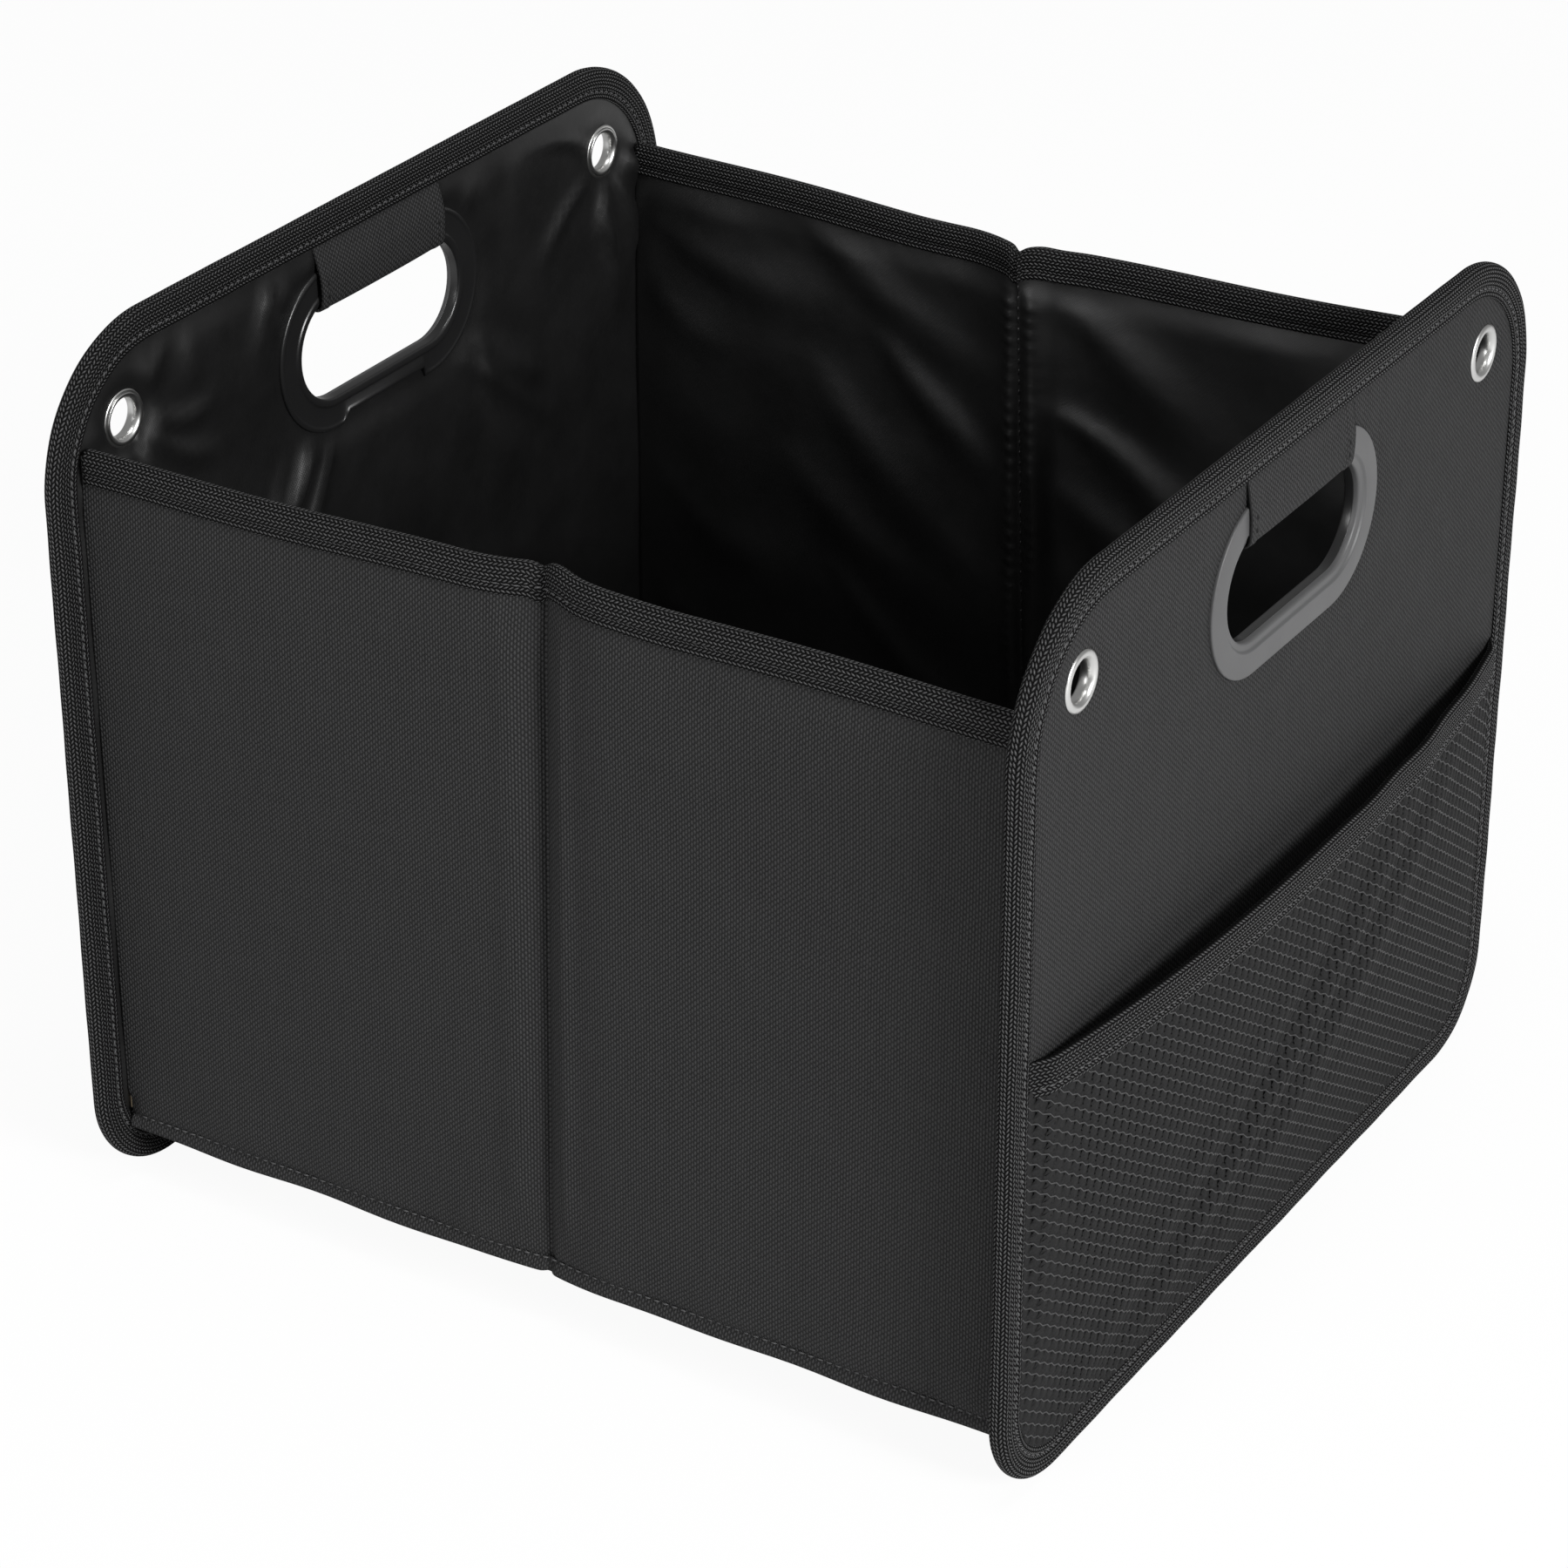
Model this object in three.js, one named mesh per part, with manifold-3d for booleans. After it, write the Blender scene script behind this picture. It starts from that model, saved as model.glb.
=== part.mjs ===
// A folding car trunk organizer: an open fabric box, stiffened by boards sewn between a woven
// cover and a smooth lining. Two tall end panels carry the hand holes, the eyelets and a mesh
// pocket. Two lower side walls and the floor join them, each with a crease across its middle.
// Millimetres, +Z up. The origin is on the ground, under the middle of the box.
// +X points to the right end panel and -Y to the front wall.
import * as THREE from "three";
import { mergeVertices } from "three/addons/utils/BufferGeometryUtils.js";
import Module from "manifold-3d";

const wasm = await Module();
wasm.setup();

// Main sizes of the box
const boxLength = 338; // between the middles of the two end panels
const panelWidth = 340; // of an end panel, front to back, over its binding
const panelHeight = 300;
const wallDrop = 34; // from the end panels' top down to the side walls' bound edge
const wallTop = panelHeight - wallDrop;
const wallSeam = 25; // height of the seam between a side wall and the floor

// Layers of every wall: cover, board, lining
const clearance = 0.3; // left between pieces that are sewn or pressed together
const coverThickness = 0.8;
const boardThickness = 2.4;
const liningThickness = 0.8;
const boardFace = boardThickness / 2;
const coverInner = boardFace + clearance;
const coverFace = coverInner + coverThickness; // outer face of a cover, from the wall's middle
const liningInner = boardFace + clearance;
const liningFace = liningInner + liningThickness; // visible face of a lining

// Corners of the end panels
const topCornerRadius = 50;
const bottomCornerRadius = 34;
const cornerSteps = 7;

// Woven tape, folded over every raw edge
const tapeThickness = 1.2;
const tapeWidth = 11; // how far it reaches in from the edge on each face
const tapeSlot = Math.max(coverFace, liningFace) + clearance;
const tapeFace = tapeSlot + tapeThickness;
const tapeFold = 2.6; // rounding of its folded edge
const foldSteps = 2;
const boardInset = 3; // of a board's edge behind its cover's edge
const sheetInset = tapeThickness + clearance;

// Two-part handle ring, snapped through the end panel
const ringFromTop = 48; // of its centre, below the panel's top
const ringHeight = panelHeight - ringFromTop;
const ringOpeningWidth = 88;
const ringOpeningHeight = 36;
const ringFlangeWidth = 11.5;
const ringFlangeThickness = 2.2;
const ringBarrelWall = 1.6;
const ringEdgeRound = 1.1;
const ringLedgeWidth = 2.8; // of the step round the opening in the outer flange
const ringLedgeDepth = 1.2;
const gripNeck = 4; // how much narrower the inner flange is along its straight bars
const gripRise = 1.0; // and how much thicker
const gripInset = 1; // from the end of a straight bar to its step
const gripStepRun = 0.5;
const ringArcSteps = 10;
const openingRadius = ringOpeningHeight / 2;
const ringHalfStraight = (ringOpeningWidth - ringOpeningHeight) / 2;
const snapBarrelInner = openingRadius + ringBarrelWall + clearance;
const snapBarrelOuter = snapBarrelInner + ringBarrelWall;
const ringFlangeFace = coverFace + clearance + ringFlangeThickness;

// Fabric wrap over the ring's upper bar
const wrapWidth = 70;
const wrapThickness = 1.0;
const wrapCorner = 1.5; // where it turns under the bar
const wrapBend = 1; // height over the flange at which it leaves the binding's plane

// Eyelets in the upper corners of the end panels
const eyeletHoleRadius = 6;
const eyeletFlangeRadius = 10;
const eyeletBarrelWall = 0.5;
const eyeletFromSide = 36;
const eyeletFromTop = 33;
const eyeletDome = 1.6; // height of the flange over the cover
const eyeletEdge = 0.3; // height of the flange's outer edge
const eyeletRoll = 0.8; // height of the barrel's end, rolled over the washer
const eyeletRollReach = 1.7; // and how far it reaches out over it
const washerThickness = 1.0;
const washerChamfer = 0.6;
const eyeletSegments = 16;
const archSteps = 4;
const eyeletCut = eyeletHoleRadius + eyeletBarrelWall + clearance;

// Side walls
const creaseDip = 6; // depth of the valley at the crease
const creaseHalfWidth = 26;
const creasePlaces = [0, 0.15, 0.45, 1]; // bends of the valley, as shares of its half width
const frontLean = 3; // how far the crease's top leans into the box
const backLean = 12;
const creaseFloorShare = 0.35; // of the dip that is left at the seam
const boardCreaseGap = 3; // from the crease to each board half
const seamLip = 5; // height of the pinched seam below the wall
const wallBends = 4; // steps up the wall in which it twists to its lean

// Floor
const floorThickness = 1.0;
const floorBendSteps = 4;
const floorTuck = 5; // how far its lining stands up inside the walls, over the seam

// Mesh pocket
const pocketTop = 155;
const pocketBulge = 15;
const pocketFullness = 2.4; // a higher power keeps the pocket full nearer its sides
const pocketThickness = 1.0;
const pocketRidge = 0.7; // height of the knit's ridges
const pocketRidgePitch = 7.8;
const ridgeHemGap = 1; // smooth knit between the last ridge and the hem
const hemTape = 0.9;
const hemWidth = 12;
const hemFold = 1.1;
const pocketSteps = 12;
const pocketInnerSteps = 6;

// The wall's middle plane lies inside the end panels' binding
const panelX = boxLength / 2;
const wallMiddle = panelWidth / 2 - tapeWidth - clearance - tapeFace;
const wallEnd = panelX - liningFace - clearance;
const wallEndAtTape = panelX - tapeFace - clearance; // where the panel's corners turn inwards

const colours = {
  polyester: { color: 0x1c1c1d, roughness: 0.9, metalness: 0 },
  lining: { color: 0x111112, roughness: 0.45, metalness: 0 },
  tape: { color: 0x222223, roughness: 0.85, metalness: 0 },
  board: { color: 0x8a7a62, roughness: 0.9, metalness: 0 },
  mesh: { color: 0x252526, roughness: 0.8, metalness: 0 },
  ringPlastic: { color: 0x3c3d3e, roughness: 0.5, metalness: 0 },
  steel: { color: 0xc9cacb, roughness: 0.2, metalness: 1 },
};

function named(name, geometry, material) {
  const mesh = new THREE.Mesh(geometry, new THREE.MeshStandardMaterial(colours[material]));
  mesh.name = name;
  return mesh;
}

// A closed skin over a row of rings of points, each ring with the same count of points.
// Where the row isn't a loop, its two end rings are filled in. Every face is split from its lower
// corner on one ring to its upper corner on the next, so that a sheet's two sides stay parallel.
function skinOver(rings, loop) {
  const count = rings[0].length;
  const positions = rings.flat().flatMap((p) => [p.x, p.y, p.z]);
  const index = [];
  const spans = loop ? rings.length : rings.length - 1;
  for (let i = 0; i < spans; i++) {
    const here = i * count;
    const next = ((i + 1) % rings.length) * count;
    for (let k = 0; k < count; k++) {
      const l = (k + 1) % count;
      if (rings[i][l].z >= rings[i][k].z) {
        index.push(here + k, here + l, next + l, here + k, next + l, next + k);
      } else {
        index.push(here + k, here + l, next + k, here + l, next + l, next + k);
      }
    }
  }
  if (!loop) index.push(...capsOf(rings, count));
  const geometry = new THREE.BufferGeometry();
  geometry.setAttribute("position", new THREE.Float32BufferAttribute(positions, 3));
  geometry.setIndex(index);
  return facingOut(geometry);
}

// Fills the first and the last ring, which lie in planes of constant x and may be concave.
function capsOf(rings, count) {
  const last = (rings.length - 1) * count;
  const flat = rings[0].map((p) => new THREE.Vector2(p.y, p.z));
  const around = Math.sign(THREE.ShapeUtils.area(flat));
  return THREE.ShapeUtils.triangulateShape(flat, []).flatMap(([a, b, c]) => {
    const along = Math.sign(THREE.ShapeUtils.area([flat[a], flat[b], flat[c]])) === around;
    const [m, n] = along ? [c, b] : [b, c];
    return [a, m, n, last + a, last + n, last + m];
  });
}

// Turns a closed geometry's faces outwards.
function facingOut(geometry) {
  const p = geometry.getAttribute("position");
  const index = Array.from(geometry.index.array);
  const [a, b, c] = [new THREE.Vector3(), new THREE.Vector3(), new THREE.Vector3()];
  let volume = 0;
  for (let i = 0; i < index.length; i += 3) {
    a.fromBufferAttribute(p, index[i]);
    b.fromBufferAttribute(p, index[i + 1]);
    c.fromBufferAttribute(p, index[i + 2]);
    volume += a.dot(b.cross(c));
  }
  if (volume < 0) index.reverse();
  geometry.setIndex(index);
  return geometry;
}

function asSolid(geometry) {
  const bare = geometry.clone();
  for (const key of Object.keys(bare.attributes)) if (key !== "position") bare.deleteAttribute(key);
  const merged = mergeVertices(bare, 1e-4);
  return new wasm.Manifold(
    new wasm.Mesh({
      numProp: 3,
      vertProperties: merged.attributes.position.array,
      triVerts: new Uint32Array(merged.index.array),
    }),
  );
}

function asGeometry(solid) {
  const mesh = solid.getMesh();
  const points = new Float32Array(mesh.numVert * 3);
  for (let i = 0; i < mesh.numVert; i++) {
    points.set(mesh.vertProperties.subarray(i * mesh.numProp, i * mesh.numProp + 3), i * 3);
  }
  const geometry = new THREE.BufferGeometry();
  geometry.setAttribute("position", new THREE.BufferAttribute(points, 3));
  geometry.setIndex(new THREE.BufferAttribute(mesh.triVerts, 1));
  return geometry;
}

// A path moved to its left by a distance, mitred at its corners.
function offsetPath(path, distance) {
  return path.map((p, i) => {
    const before = path[Math.max(i - 1, 0)];
    const after = path[Math.min(i + 1, path.length - 1)];
    const arriving = new THREE.Vector2().subVectors(i ? p : after, i ? before : p).normalize();
    const leaving = p === after ? arriving : new THREE.Vector2().subVectors(after, p).normalize();
    const aside = new THREE.Vector2(-arriving.y - leaving.y, arriving.x + leaving.x).normalize();
    const reach = distance / aside.dot(new THREE.Vector2(-arriving.y, arriving.x));
    return p.clone().addScaledVector(aside, reach);
  });
}

// End panels. Each is modelled lying in its own plane: local x runs along the panel's width,
// local y up, and local z out of the box.

// The corner centres of a panel, anticlockwise from the upper right, with their first angle.
function panelCorners() {
  const topX = panelWidth / 2 - topCornerRadius;
  const bottomX = panelWidth / 2 - bottomCornerRadius;
  const topY = panelHeight - topCornerRadius;
  return [
    { x: topX, y: topY, radius: topCornerRadius, from: 0 },
    { x: -topX, y: topY, radius: topCornerRadius, from: 1 },
    { x: -bottomX, y: bottomCornerRadius, radius: bottomCornerRadius, from: 2 },
    { x: bottomX, y: bottomCornerRadius, radius: bottomCornerRadius, from: 3 },
  ];
}

// Places round the panel's edge, with the way out of the panel at each.
function panelEdge() {
  return panelCorners().flatMap(({ x, y, radius, from }) =>
    Array.from({ length: cornerSteps + 1 }, (_, i) => {
      const angle = (from + i / cornerSteps) * (Math.PI / 2);
      return { x, y, radius, out: new THREE.Vector2(Math.cos(angle), Math.sin(angle)) };
    }),
  );
}

function panelShape(inset) {
  const points = panelEdge().map(
    ({ x, y, radius, out }) =>
      new THREE.Vector2(x + (radius - inset) * out.x, y + (radius - inset) * out.y),
  );
  return new THREE.Shape(points);
}

function roundHole(x, y, radius) {
  return new THREE.Path().absarc(x, y, radius, 0, Math.PI * 2, true);
}

// A hole with straight sides and round ends, for the handle ring's barrel.
function slotHole(radius) {
  const hole = new THREE.Path();
  hole.absarc(-ringHalfStraight, ringHeight, radius, -Math.PI / 2, Math.PI / 2, true);
  hole.absarc(ringHalfStraight, ringHeight, radius, Math.PI / 2, -Math.PI / 2, true);
  return hole;
}

const eyeletX = panelWidth / 2 - eyeletFromSide;
const eyeletY = panelHeight - eyeletFromTop;

// One flat layer of an end panel, between two heights over its middle.
function panelLayer(inset, low, high) {
  const shape = panelShape(inset);
  shape.holes.push(slotHole(snapBarrelOuter + clearance));
  for (const side of [-1, 1]) shape.holes.push(roundHole(side * eyeletX, eyeletY, eyeletCut));
  const geometry = new THREE.ExtrudeGeometry(shape, {
    depth: high - low,
    bevelEnabled: false,
    curveSegments: eyeletSegments / 2,
  });
  return geometry.translate(0, 0, low);
}

// The tape's folded section: distance in from the edge, and height over the middle.
function foldedSection(slot, thickness, width, round) {
  const face = slot + thickness;
  const half = [[width, face]];
  for (let i = 0; i <= foldSteps; i++) {
    const angle = (i / foldSteps) * (Math.PI / 2);
    half.push([round * (1 - Math.sin(angle)), face - round * (1 - Math.cos(angle))]);
  }
  const inside = [
    [thickness, slot],
    [width, slot],
  ];
  const mirrored = (list) => list.map(([s, h]) => [s, -h]).reverse();
  return [...half, ...mirrored(half), ...mirrored(inside), ...inside];
}

function panelBinding() {
  const section = foldedSection(tapeSlot, tapeThickness, tapeWidth, tapeFold);
  const rings = panelEdge().map(({ x, y, radius, out }) =>
    section.map(
      ([s, h]) => new THREE.Vector3(x + (radius - s) * out.x, y + (radius - s) * out.y, h),
    ),
  );
  return skinOver(rings, true);
}

// Places round the handle ring, with the share of the grip bar's form at each.
function ringStations(withGrip) {
  const stations = [];
  for (const side of [1, -1]) {
    const first = side > 0 ? -Math.PI / 2 : Math.PI / 2;
    for (let i = 0; i <= ringArcSteps; i++) {
      const angle = first + (i / ringArcSteps) * Math.PI;
      stations.push({ x: side * ringHalfStraight, angle, grip: 0 });
    }
    if (!withGrip) continue;
    const barAngle = first + Math.PI;
    const barEnd = ringHalfStraight - gripInset;
    stations.push({ x: side * barEnd, angle: barAngle, grip: 0 });
    stations.push({ x: side * (barEnd - gripStepRun), angle: barAngle, grip: 1 });
    stations.push({ x: -side * (barEnd - gripStepRun), angle: barAngle, grip: 1 });
    stations.push({ x: -side * barEnd, angle: barAngle, grip: 0 });
  }
  return stations;
}

function ringSkin(sectionAt, withGrip) {
  const rings = ringStations(withGrip).map(({ x, angle, grip }) =>
    sectionAt(grip).map(
      ([r, h]) =>
        new THREE.Vector3(x + r * Math.cos(angle), ringHeight + r * Math.sin(angle), h),
    ),
  );
  return skinOver(rings, true);
}

// The outer half: a flat flange on the cover, stepped down to a ledge round the opening, and a
// barrel through the panel.
function outerRingSection() {
  const flangeEdge = openingRadius + ringFlangeWidth;
  const ledgeEdge = openingRadius + ringLedgeWidth;
  const ledge = ringFlangeFace - ringLedgeDepth;
  const edge = ringEdgeRound / 2;
  const seat = coverFace + clearance;
  return [
    [openingRadius, -liningFace],
    [openingRadius + ringBarrelWall, -liningFace],
    [openingRadius + ringBarrelWall, seat],
    [flangeEdge, seat],
    [flangeEdge, ringFlangeFace - ringEdgeRound],
    [flangeEdge - ringEdgeRound, ringFlangeFace],
    [ledgeEdge + edge, ringFlangeFace],
    [ledgeEdge, ledge],
    [openingRadius + edge, ledge],
    [openingRadius, ledge - edge],
  ];
}

// The inner half: its barrel grips the outer half's, and its straight bars are narrow and thick.
function innerRingSection(grip) {
  const flangeEdge = openingRadius + ringFlangeWidth - gripNeck * grip;
  const seat = -liningFace - clearance;
  const face = seat - ringFlangeThickness - gripRise * grip;
  const round = ringEdgeRound * (1 + grip);
  return [
    [openingRadius, seat],
    [openingRadius, face + round],
    [openingRadius + round, face],
    [flangeEdge - round, face],
    [flangeEdge, face + round],
    [flangeEdge, seat],
    [snapBarrelOuter, seat],
    [snapBarrelOuter, coverFace],
    [snapBarrelInner, coverFace],
    [snapBarrelInner, seat],
  ];
}

// A strip of cover fabric that hangs from the top binding, under the ring's bar and up again.
function handleWrap() {
  const outsideBar = ringFlangeFace + clearance;
  const insideBar = ringFlangeFace + gripRise + clearance;
  const openingTop = ringHeight + openingRadius;
  const overArc = Math.max(wrapWidth / 2 - ringHalfStraight, 0);
  const arcDrop = openingRadius - Math.sqrt(openingRadius ** 2 - overArc ** 2);
  const bottom = openingTop - arcDrop - 2 * clearance;
  const top = panelHeight - tapeWidth - clearance;
  const flangeTop = openingTop + ringFlangeWidth + clearance;
  const bend = Math.min(flangeTop + wrapBend, top - wrapBend);
  const inner = [
    [tapeSlot, top],
    [outsideBar, bend],
    [outsideBar, bottom + wrapCorner],
    [outsideBar - wrapCorner, bottom],
    [-insideBar + wrapCorner, bottom],
    [-insideBar, bottom + wrapCorner],
    [-insideBar, bend],
    [-tapeSlot, top],
  ].map(([h, y]) => new THREE.Vector2(h, y));
  const outer = offsetPath(inner, wrapThickness);
  for (const end of [outer[0], outer[outer.length - 1]]) end.y = top;
  const outline = [...inner, ...outer.reverse()];
  const rings = [-wrapWidth / 2, wrapWidth / 2].map((x) =>
    outline.map((p) => new THREE.Vector3(x, p.y, p.x)),
  );
  return skinOver(rings, false);
}

// A revolved ring about the eyelet's axis, from a closed section of radius and height.
function eyeletRing(section) {
  const closed = [...section, section[0]].map(([r, h]) => new THREE.Vector2(r, h));
  const geometry = new THREE.LatheGeometry(closed, eyeletSegments);
  geometry.rotateX(Math.PI / 2);
  return geometry;
}

// Points over an arch, from an outer radius to the hole's edge.
function eyeletArch(outer, foot, rise) {
  const middle = (outer + eyeletHoleRadius) / 2;
  return Array.from({ length: archSteps + 1 }, (_, i) => {
    const angle = (i / archSteps) * Math.PI;
    return [middle + (outer - middle) * Math.cos(angle), foot + rise * Math.sin(angle)];
  });
}

function eyelet() {
  const seat = coverFace + clearance;
  const barrel = eyeletHoleRadius + eyeletBarrelWall;
  const back = -(liningFace + clearance + washerThickness + clearance);
  const dome = eyeletArch(eyeletFlangeRadius, seat + eyeletEdge, eyeletDome - eyeletEdge);
  const roll = eyeletArch(barrel + eyeletRollReach, back, -eyeletRoll);
  const outside = [
    [barrel, back],
    [barrel, seat],
    [eyeletFlangeRadius, seat],
  ];
  return eyeletRing([...dome, ...roll.reverse(), ...outside]);
}

function eyeletWasher() {
  const seat = -liningFace - clearance;
  const face = seat - washerThickness;
  return eyeletRing([
    [eyeletCut, face],
    [eyeletFlangeRadius - washerChamfer, face],
    [eyeletFlangeRadius, face + washerChamfer],
    [eyeletFlangeRadius, seat],
    [eyeletCut, seat],
  ]);
}

// Mesh pocket. Its foot and sides are caught by the binding, and its hemmed mouth stands open.
const pocketHalfWidth = panelWidth / 2 - tapeWidth - clearance;

// The lowest place of the pocket at a distance from the panel's middle.
function pocketFoot(x) {
  const past = Math.abs(x) - (panelWidth / 2 - bottomCornerRadius);
  const inner = bottomCornerRadius - tapeWidth - clearance;
  if (past <= 0) return tapeWidth + clearance;
  return bottomCornerRadius - Math.sqrt(Math.max(inner * inner - past * past, 0));
}

// How far the pocket's middle stands off the panel, at x and a share of the way up to its hem.
function pocketStand(x, share) {
  const across = 1 - Math.abs(x / pocketHalfWidth) ** pocketFullness;
  const rise = Math.sin((Math.min(share, 1) * Math.PI) / 2);
  const atHem = pocketThickness / 2 + clearance + hemTape + clearance;
  const atFoot = pocketThickness / 2 + clearance;
  return coverFace + atFoot + (atHem - atFoot + pocketBulge * across) * rise;
}

// Places across the pocket, closer together round the panel's lower corners.
function pocketPlaces() {
  const places = [];
  for (let i = 0; i <= pocketSteps; i++) {
    places.push(pocketHalfWidth * Math.sin((Math.PI / 2) * ((2 * i) / pocketSteps - 1)));
  }
  return places;
}

const hemFoot = pocketTop - hemWidth;
const ridgeTop = hemFoot - ridgeHemGap;
const ridgeCount = Math.round((ridgeTop - tapeWidth) / pocketRidgePitch);

function meshPocket() {
  const sheetTop = pocketTop - hemTape - clearance;
  const rings = pocketPlaces().map((x) => {
    const foot = pocketFoot(x);
    const at = (share, offset) => {
      const y = foot + (ridgeTop - foot) * share;
      return new THREE.Vector3(x, y, pocketStand(x, share) + offset);
    };
    const outer = [];
    for (let i = 0; i <= 2 * ridgeCount; i++) {
      const ridge = i % 2 ? pocketRidge : 0;
      outer.push(at(i / (2 * ridgeCount), pocketThickness / 2 + ridge));
    }
    const inner = [];
    for (let i = pocketInnerSteps; i >= 0; i--) {
      inner.push(at(i / pocketInnerSteps, -pocketThickness / 2));
    }
    const stand = pocketStand(x, 1);
    const rim = [
      new THREE.Vector3(x, sheetTop, stand + pocketThickness / 2),
      new THREE.Vector3(x, sheetTop, stand - pocketThickness / 2),
    ];
    return [...outer, ...rim, ...inner];
  });
  return skinOver(rings, false);
}

function pocketHem() {
  const slot = pocketThickness / 2 + clearance;
  const section = foldedSection(slot, hemTape, hemWidth, hemFold);
  const rings = pocketPlaces().map((x) =>
    section.map(([s, h]) => new THREE.Vector3(x, pocketTop - s, pocketStand(x, 1) + h)),
  );
  return skinOver(rings, false);
}

// One whole end panel, standing at the right end of the box. `ends` names the two eyelets, for
// the panel's local right and left side.
function endPanel(side, ends) {
  const panel = new THREE.Group();
  const add = (name, geometry, material) => {
    const mesh = named(`${name}_${side}`, geometry, material);
    panel.add(mesh);
    return mesh;
  };
  add("end_cover", panelLayer(sheetInset, coverInner, coverFace), "polyester");
  add("end_board", panelLayer(sheetInset + boardInset, -boardFace, boardFace), "board");
  add("end_lining", panelLayer(sheetInset, -liningFace, -liningInner), "lining");
  add("end_binding", panelBinding(), "tape");
  add("handle_ring_outer", ringSkin(outerRingSection, false), "ringPlastic");
  add("handle_ring_inner", ringSkin(innerRingSection, true), "ringPlastic");
  add("handle_wrap", handleWrap(), "polyester");
  add("mesh_pocket", meshPocket(), "mesh");
  add("pocket_hem", pocketHem(), "tape");
  ends.forEach((end, i) => {
    const x = i ? -eyeletX : eyeletX;
    add(`eyelet_${end}`, eyelet(), "steel").position.set(x, eyeletY, 0);
    add(`eyelet_washer_${end}`, eyeletWasher(), "steel").position.set(x, eyeletY, 0);
  });
  // Stands the panel up: its width along Y, its height along Z, its outside along X.
  panel.quaternion.setFromAxisAngle(new THREE.Vector3(1, 1, 1).normalize(), (2 * Math.PI) / 3);
  panel.position.x = panelX;
  return panel;
}

// Side walls. Each is modelled as the front one, with its outside along -Y.

// The wall's middle line at a height, seen from above, as places from left to right.
function wallLine(height, lean) {
  const share = Math.min(Math.max((height - wallSeam) / (wallTop - wallSeam), 0), 1);
  const dip = creaseDip * (creaseFloorShare + (1 - creaseFloorShare) * share);
  const right = creasePlaces.map((t) => {
    const x = t * creaseHalfWidth;
    return [x, dip * (1 - t) ** 2 + lean * share * (1 - x / wallEnd)];
  });
  right.push([wallEnd, 0]);
  const left = right.slice(1).map(([x, y]) => [-x, y]);
  return [...left.reverse(), ...right].map(([x, y]) => new THREE.Vector2(x, y - wallMiddle));
}

// The same line moved by a distance into the box, with its two ends at the given x.
function offsetLine(line, distance, end = wallEnd) {
  const moved = offsetPath(line, distance);
  for (const p of [moved[0], moved[moved.length - 1]]) p.x = Math.sign(p.x) * end;
  return moved;
}

// A solid along the wall, from a section of offset into the box, height and end.
function alongWall(section, lean) {
  const lines = section.map(([offset, height, end]) =>
    offsetLine(wallLine(height, lean), offset, end),
  );
  const rings = lines[0].map((_, i) =>
    section.map(([, height], k) => new THREE.Vector3(lines[k][i].x, lines[k][i].y, height)),
  );
  return skinOver(rings, false);
}

const sheetTopEdge = wallTop - sheetInset;
const floorLow = tapeWidth + clearance;
const floorBoardLow = floorLow + floorThickness + clearance;
const floorLiningLow = floorBoardLow + boardThickness + clearance;

// Heights that all of a wall's sheets share, so that they bend alike. Beside the end panels'
// round corners the cover's ends stop short of the binding.
const straightLow = bottomCornerRadius;
const straightHigh = panelHeight - topCornerRadius;
const cornerStep = tapeFace;
const bendLevels = Array.from(
  { length: wallBends + 1 },
  (_, i) => straightLow + (straightHigh - straightLow) * (i / wallBends),
);
const wallLevels = [straightLow - cornerStep, ...bendLevels, straightHigh + cornerStep];

// A sheet's section along a wall, between two offsets from its middle and two heights.
function wallSheet(from, to, low, high, endAt = () => wallEnd) {
  const heights = [low, ...wallLevels.filter((h) => h > low && h < high), high];
  const side = (offset) => heights.map((height) => [offset, height, endAt(height)]);
  return [...side(from).reverse(), ...side(to)];
}

function coverEnd(height) {
  return height < straightLow || height > straightHigh ? wallEndAtTape : wallEnd;
}

// One half of a wall's board, cut off short of the crease.
function wallBoard(side, lean) {
  const foot = wallSeam + boardInset / 2;
  const section = wallSheet(-boardFace, boardFace, foot, sheetTopEdge - boardInset);
  const whole = asSolid(alongWall(section, lean));
  const reach = wallEnd - boardCreaseGap;
  const cutter = new THREE.BoxGeometry(reach, panelWidth, panelHeight * 2);
  cutter.translate(side * (boardCreaseGap + reach / 2), 0, 0);
  return asGeometry(whole.intersect(asSolid(cutter)));
}

function sideWall(name, lean) {
  const wall = new THREE.Group();
  const cover = wallSheet(-coverFace, -coverInner, wallSeam - seamLip, sheetTopEdge, coverEnd);
  const lining = wallSheet(liningInner, liningFace, wallSeam, sheetTopEdge);
  const tape = foldedSection(tapeSlot, tapeThickness, tapeWidth, tapeFold);
  const binding = tape.map(([s, h]) => [h, wallTop - s, wallEndAtTape]);
  wall.add(named(`${name}_wall_cover`, alongWall(cover, lean), "polyester"));
  wall.add(named(`${name}_wall_lining`, alongWall(lining, lean), "lining"));
  wall.add(named(`${name}_wall_binding`, alongWall(binding, lean), "tape"));
  const sides = name === "front" ? ["left", "right"] : ["right", "left"];
  wall.add(named(`${name}_wall_board_${sides[0]}`, wallBoard(-1, lean), "board"));
  wall.add(named(`${name}_wall_board_${sides[1]}`, wallBoard(1, lean), "board"));
  return wall;
}

// Floor. Its cover and its lining turn up at the front and the back, round the same centres as
// the end panels' lower corners, and their edges stand along the two walls.
const floorBendY = panelWidth / 2 - bottomCornerRadius;

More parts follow.
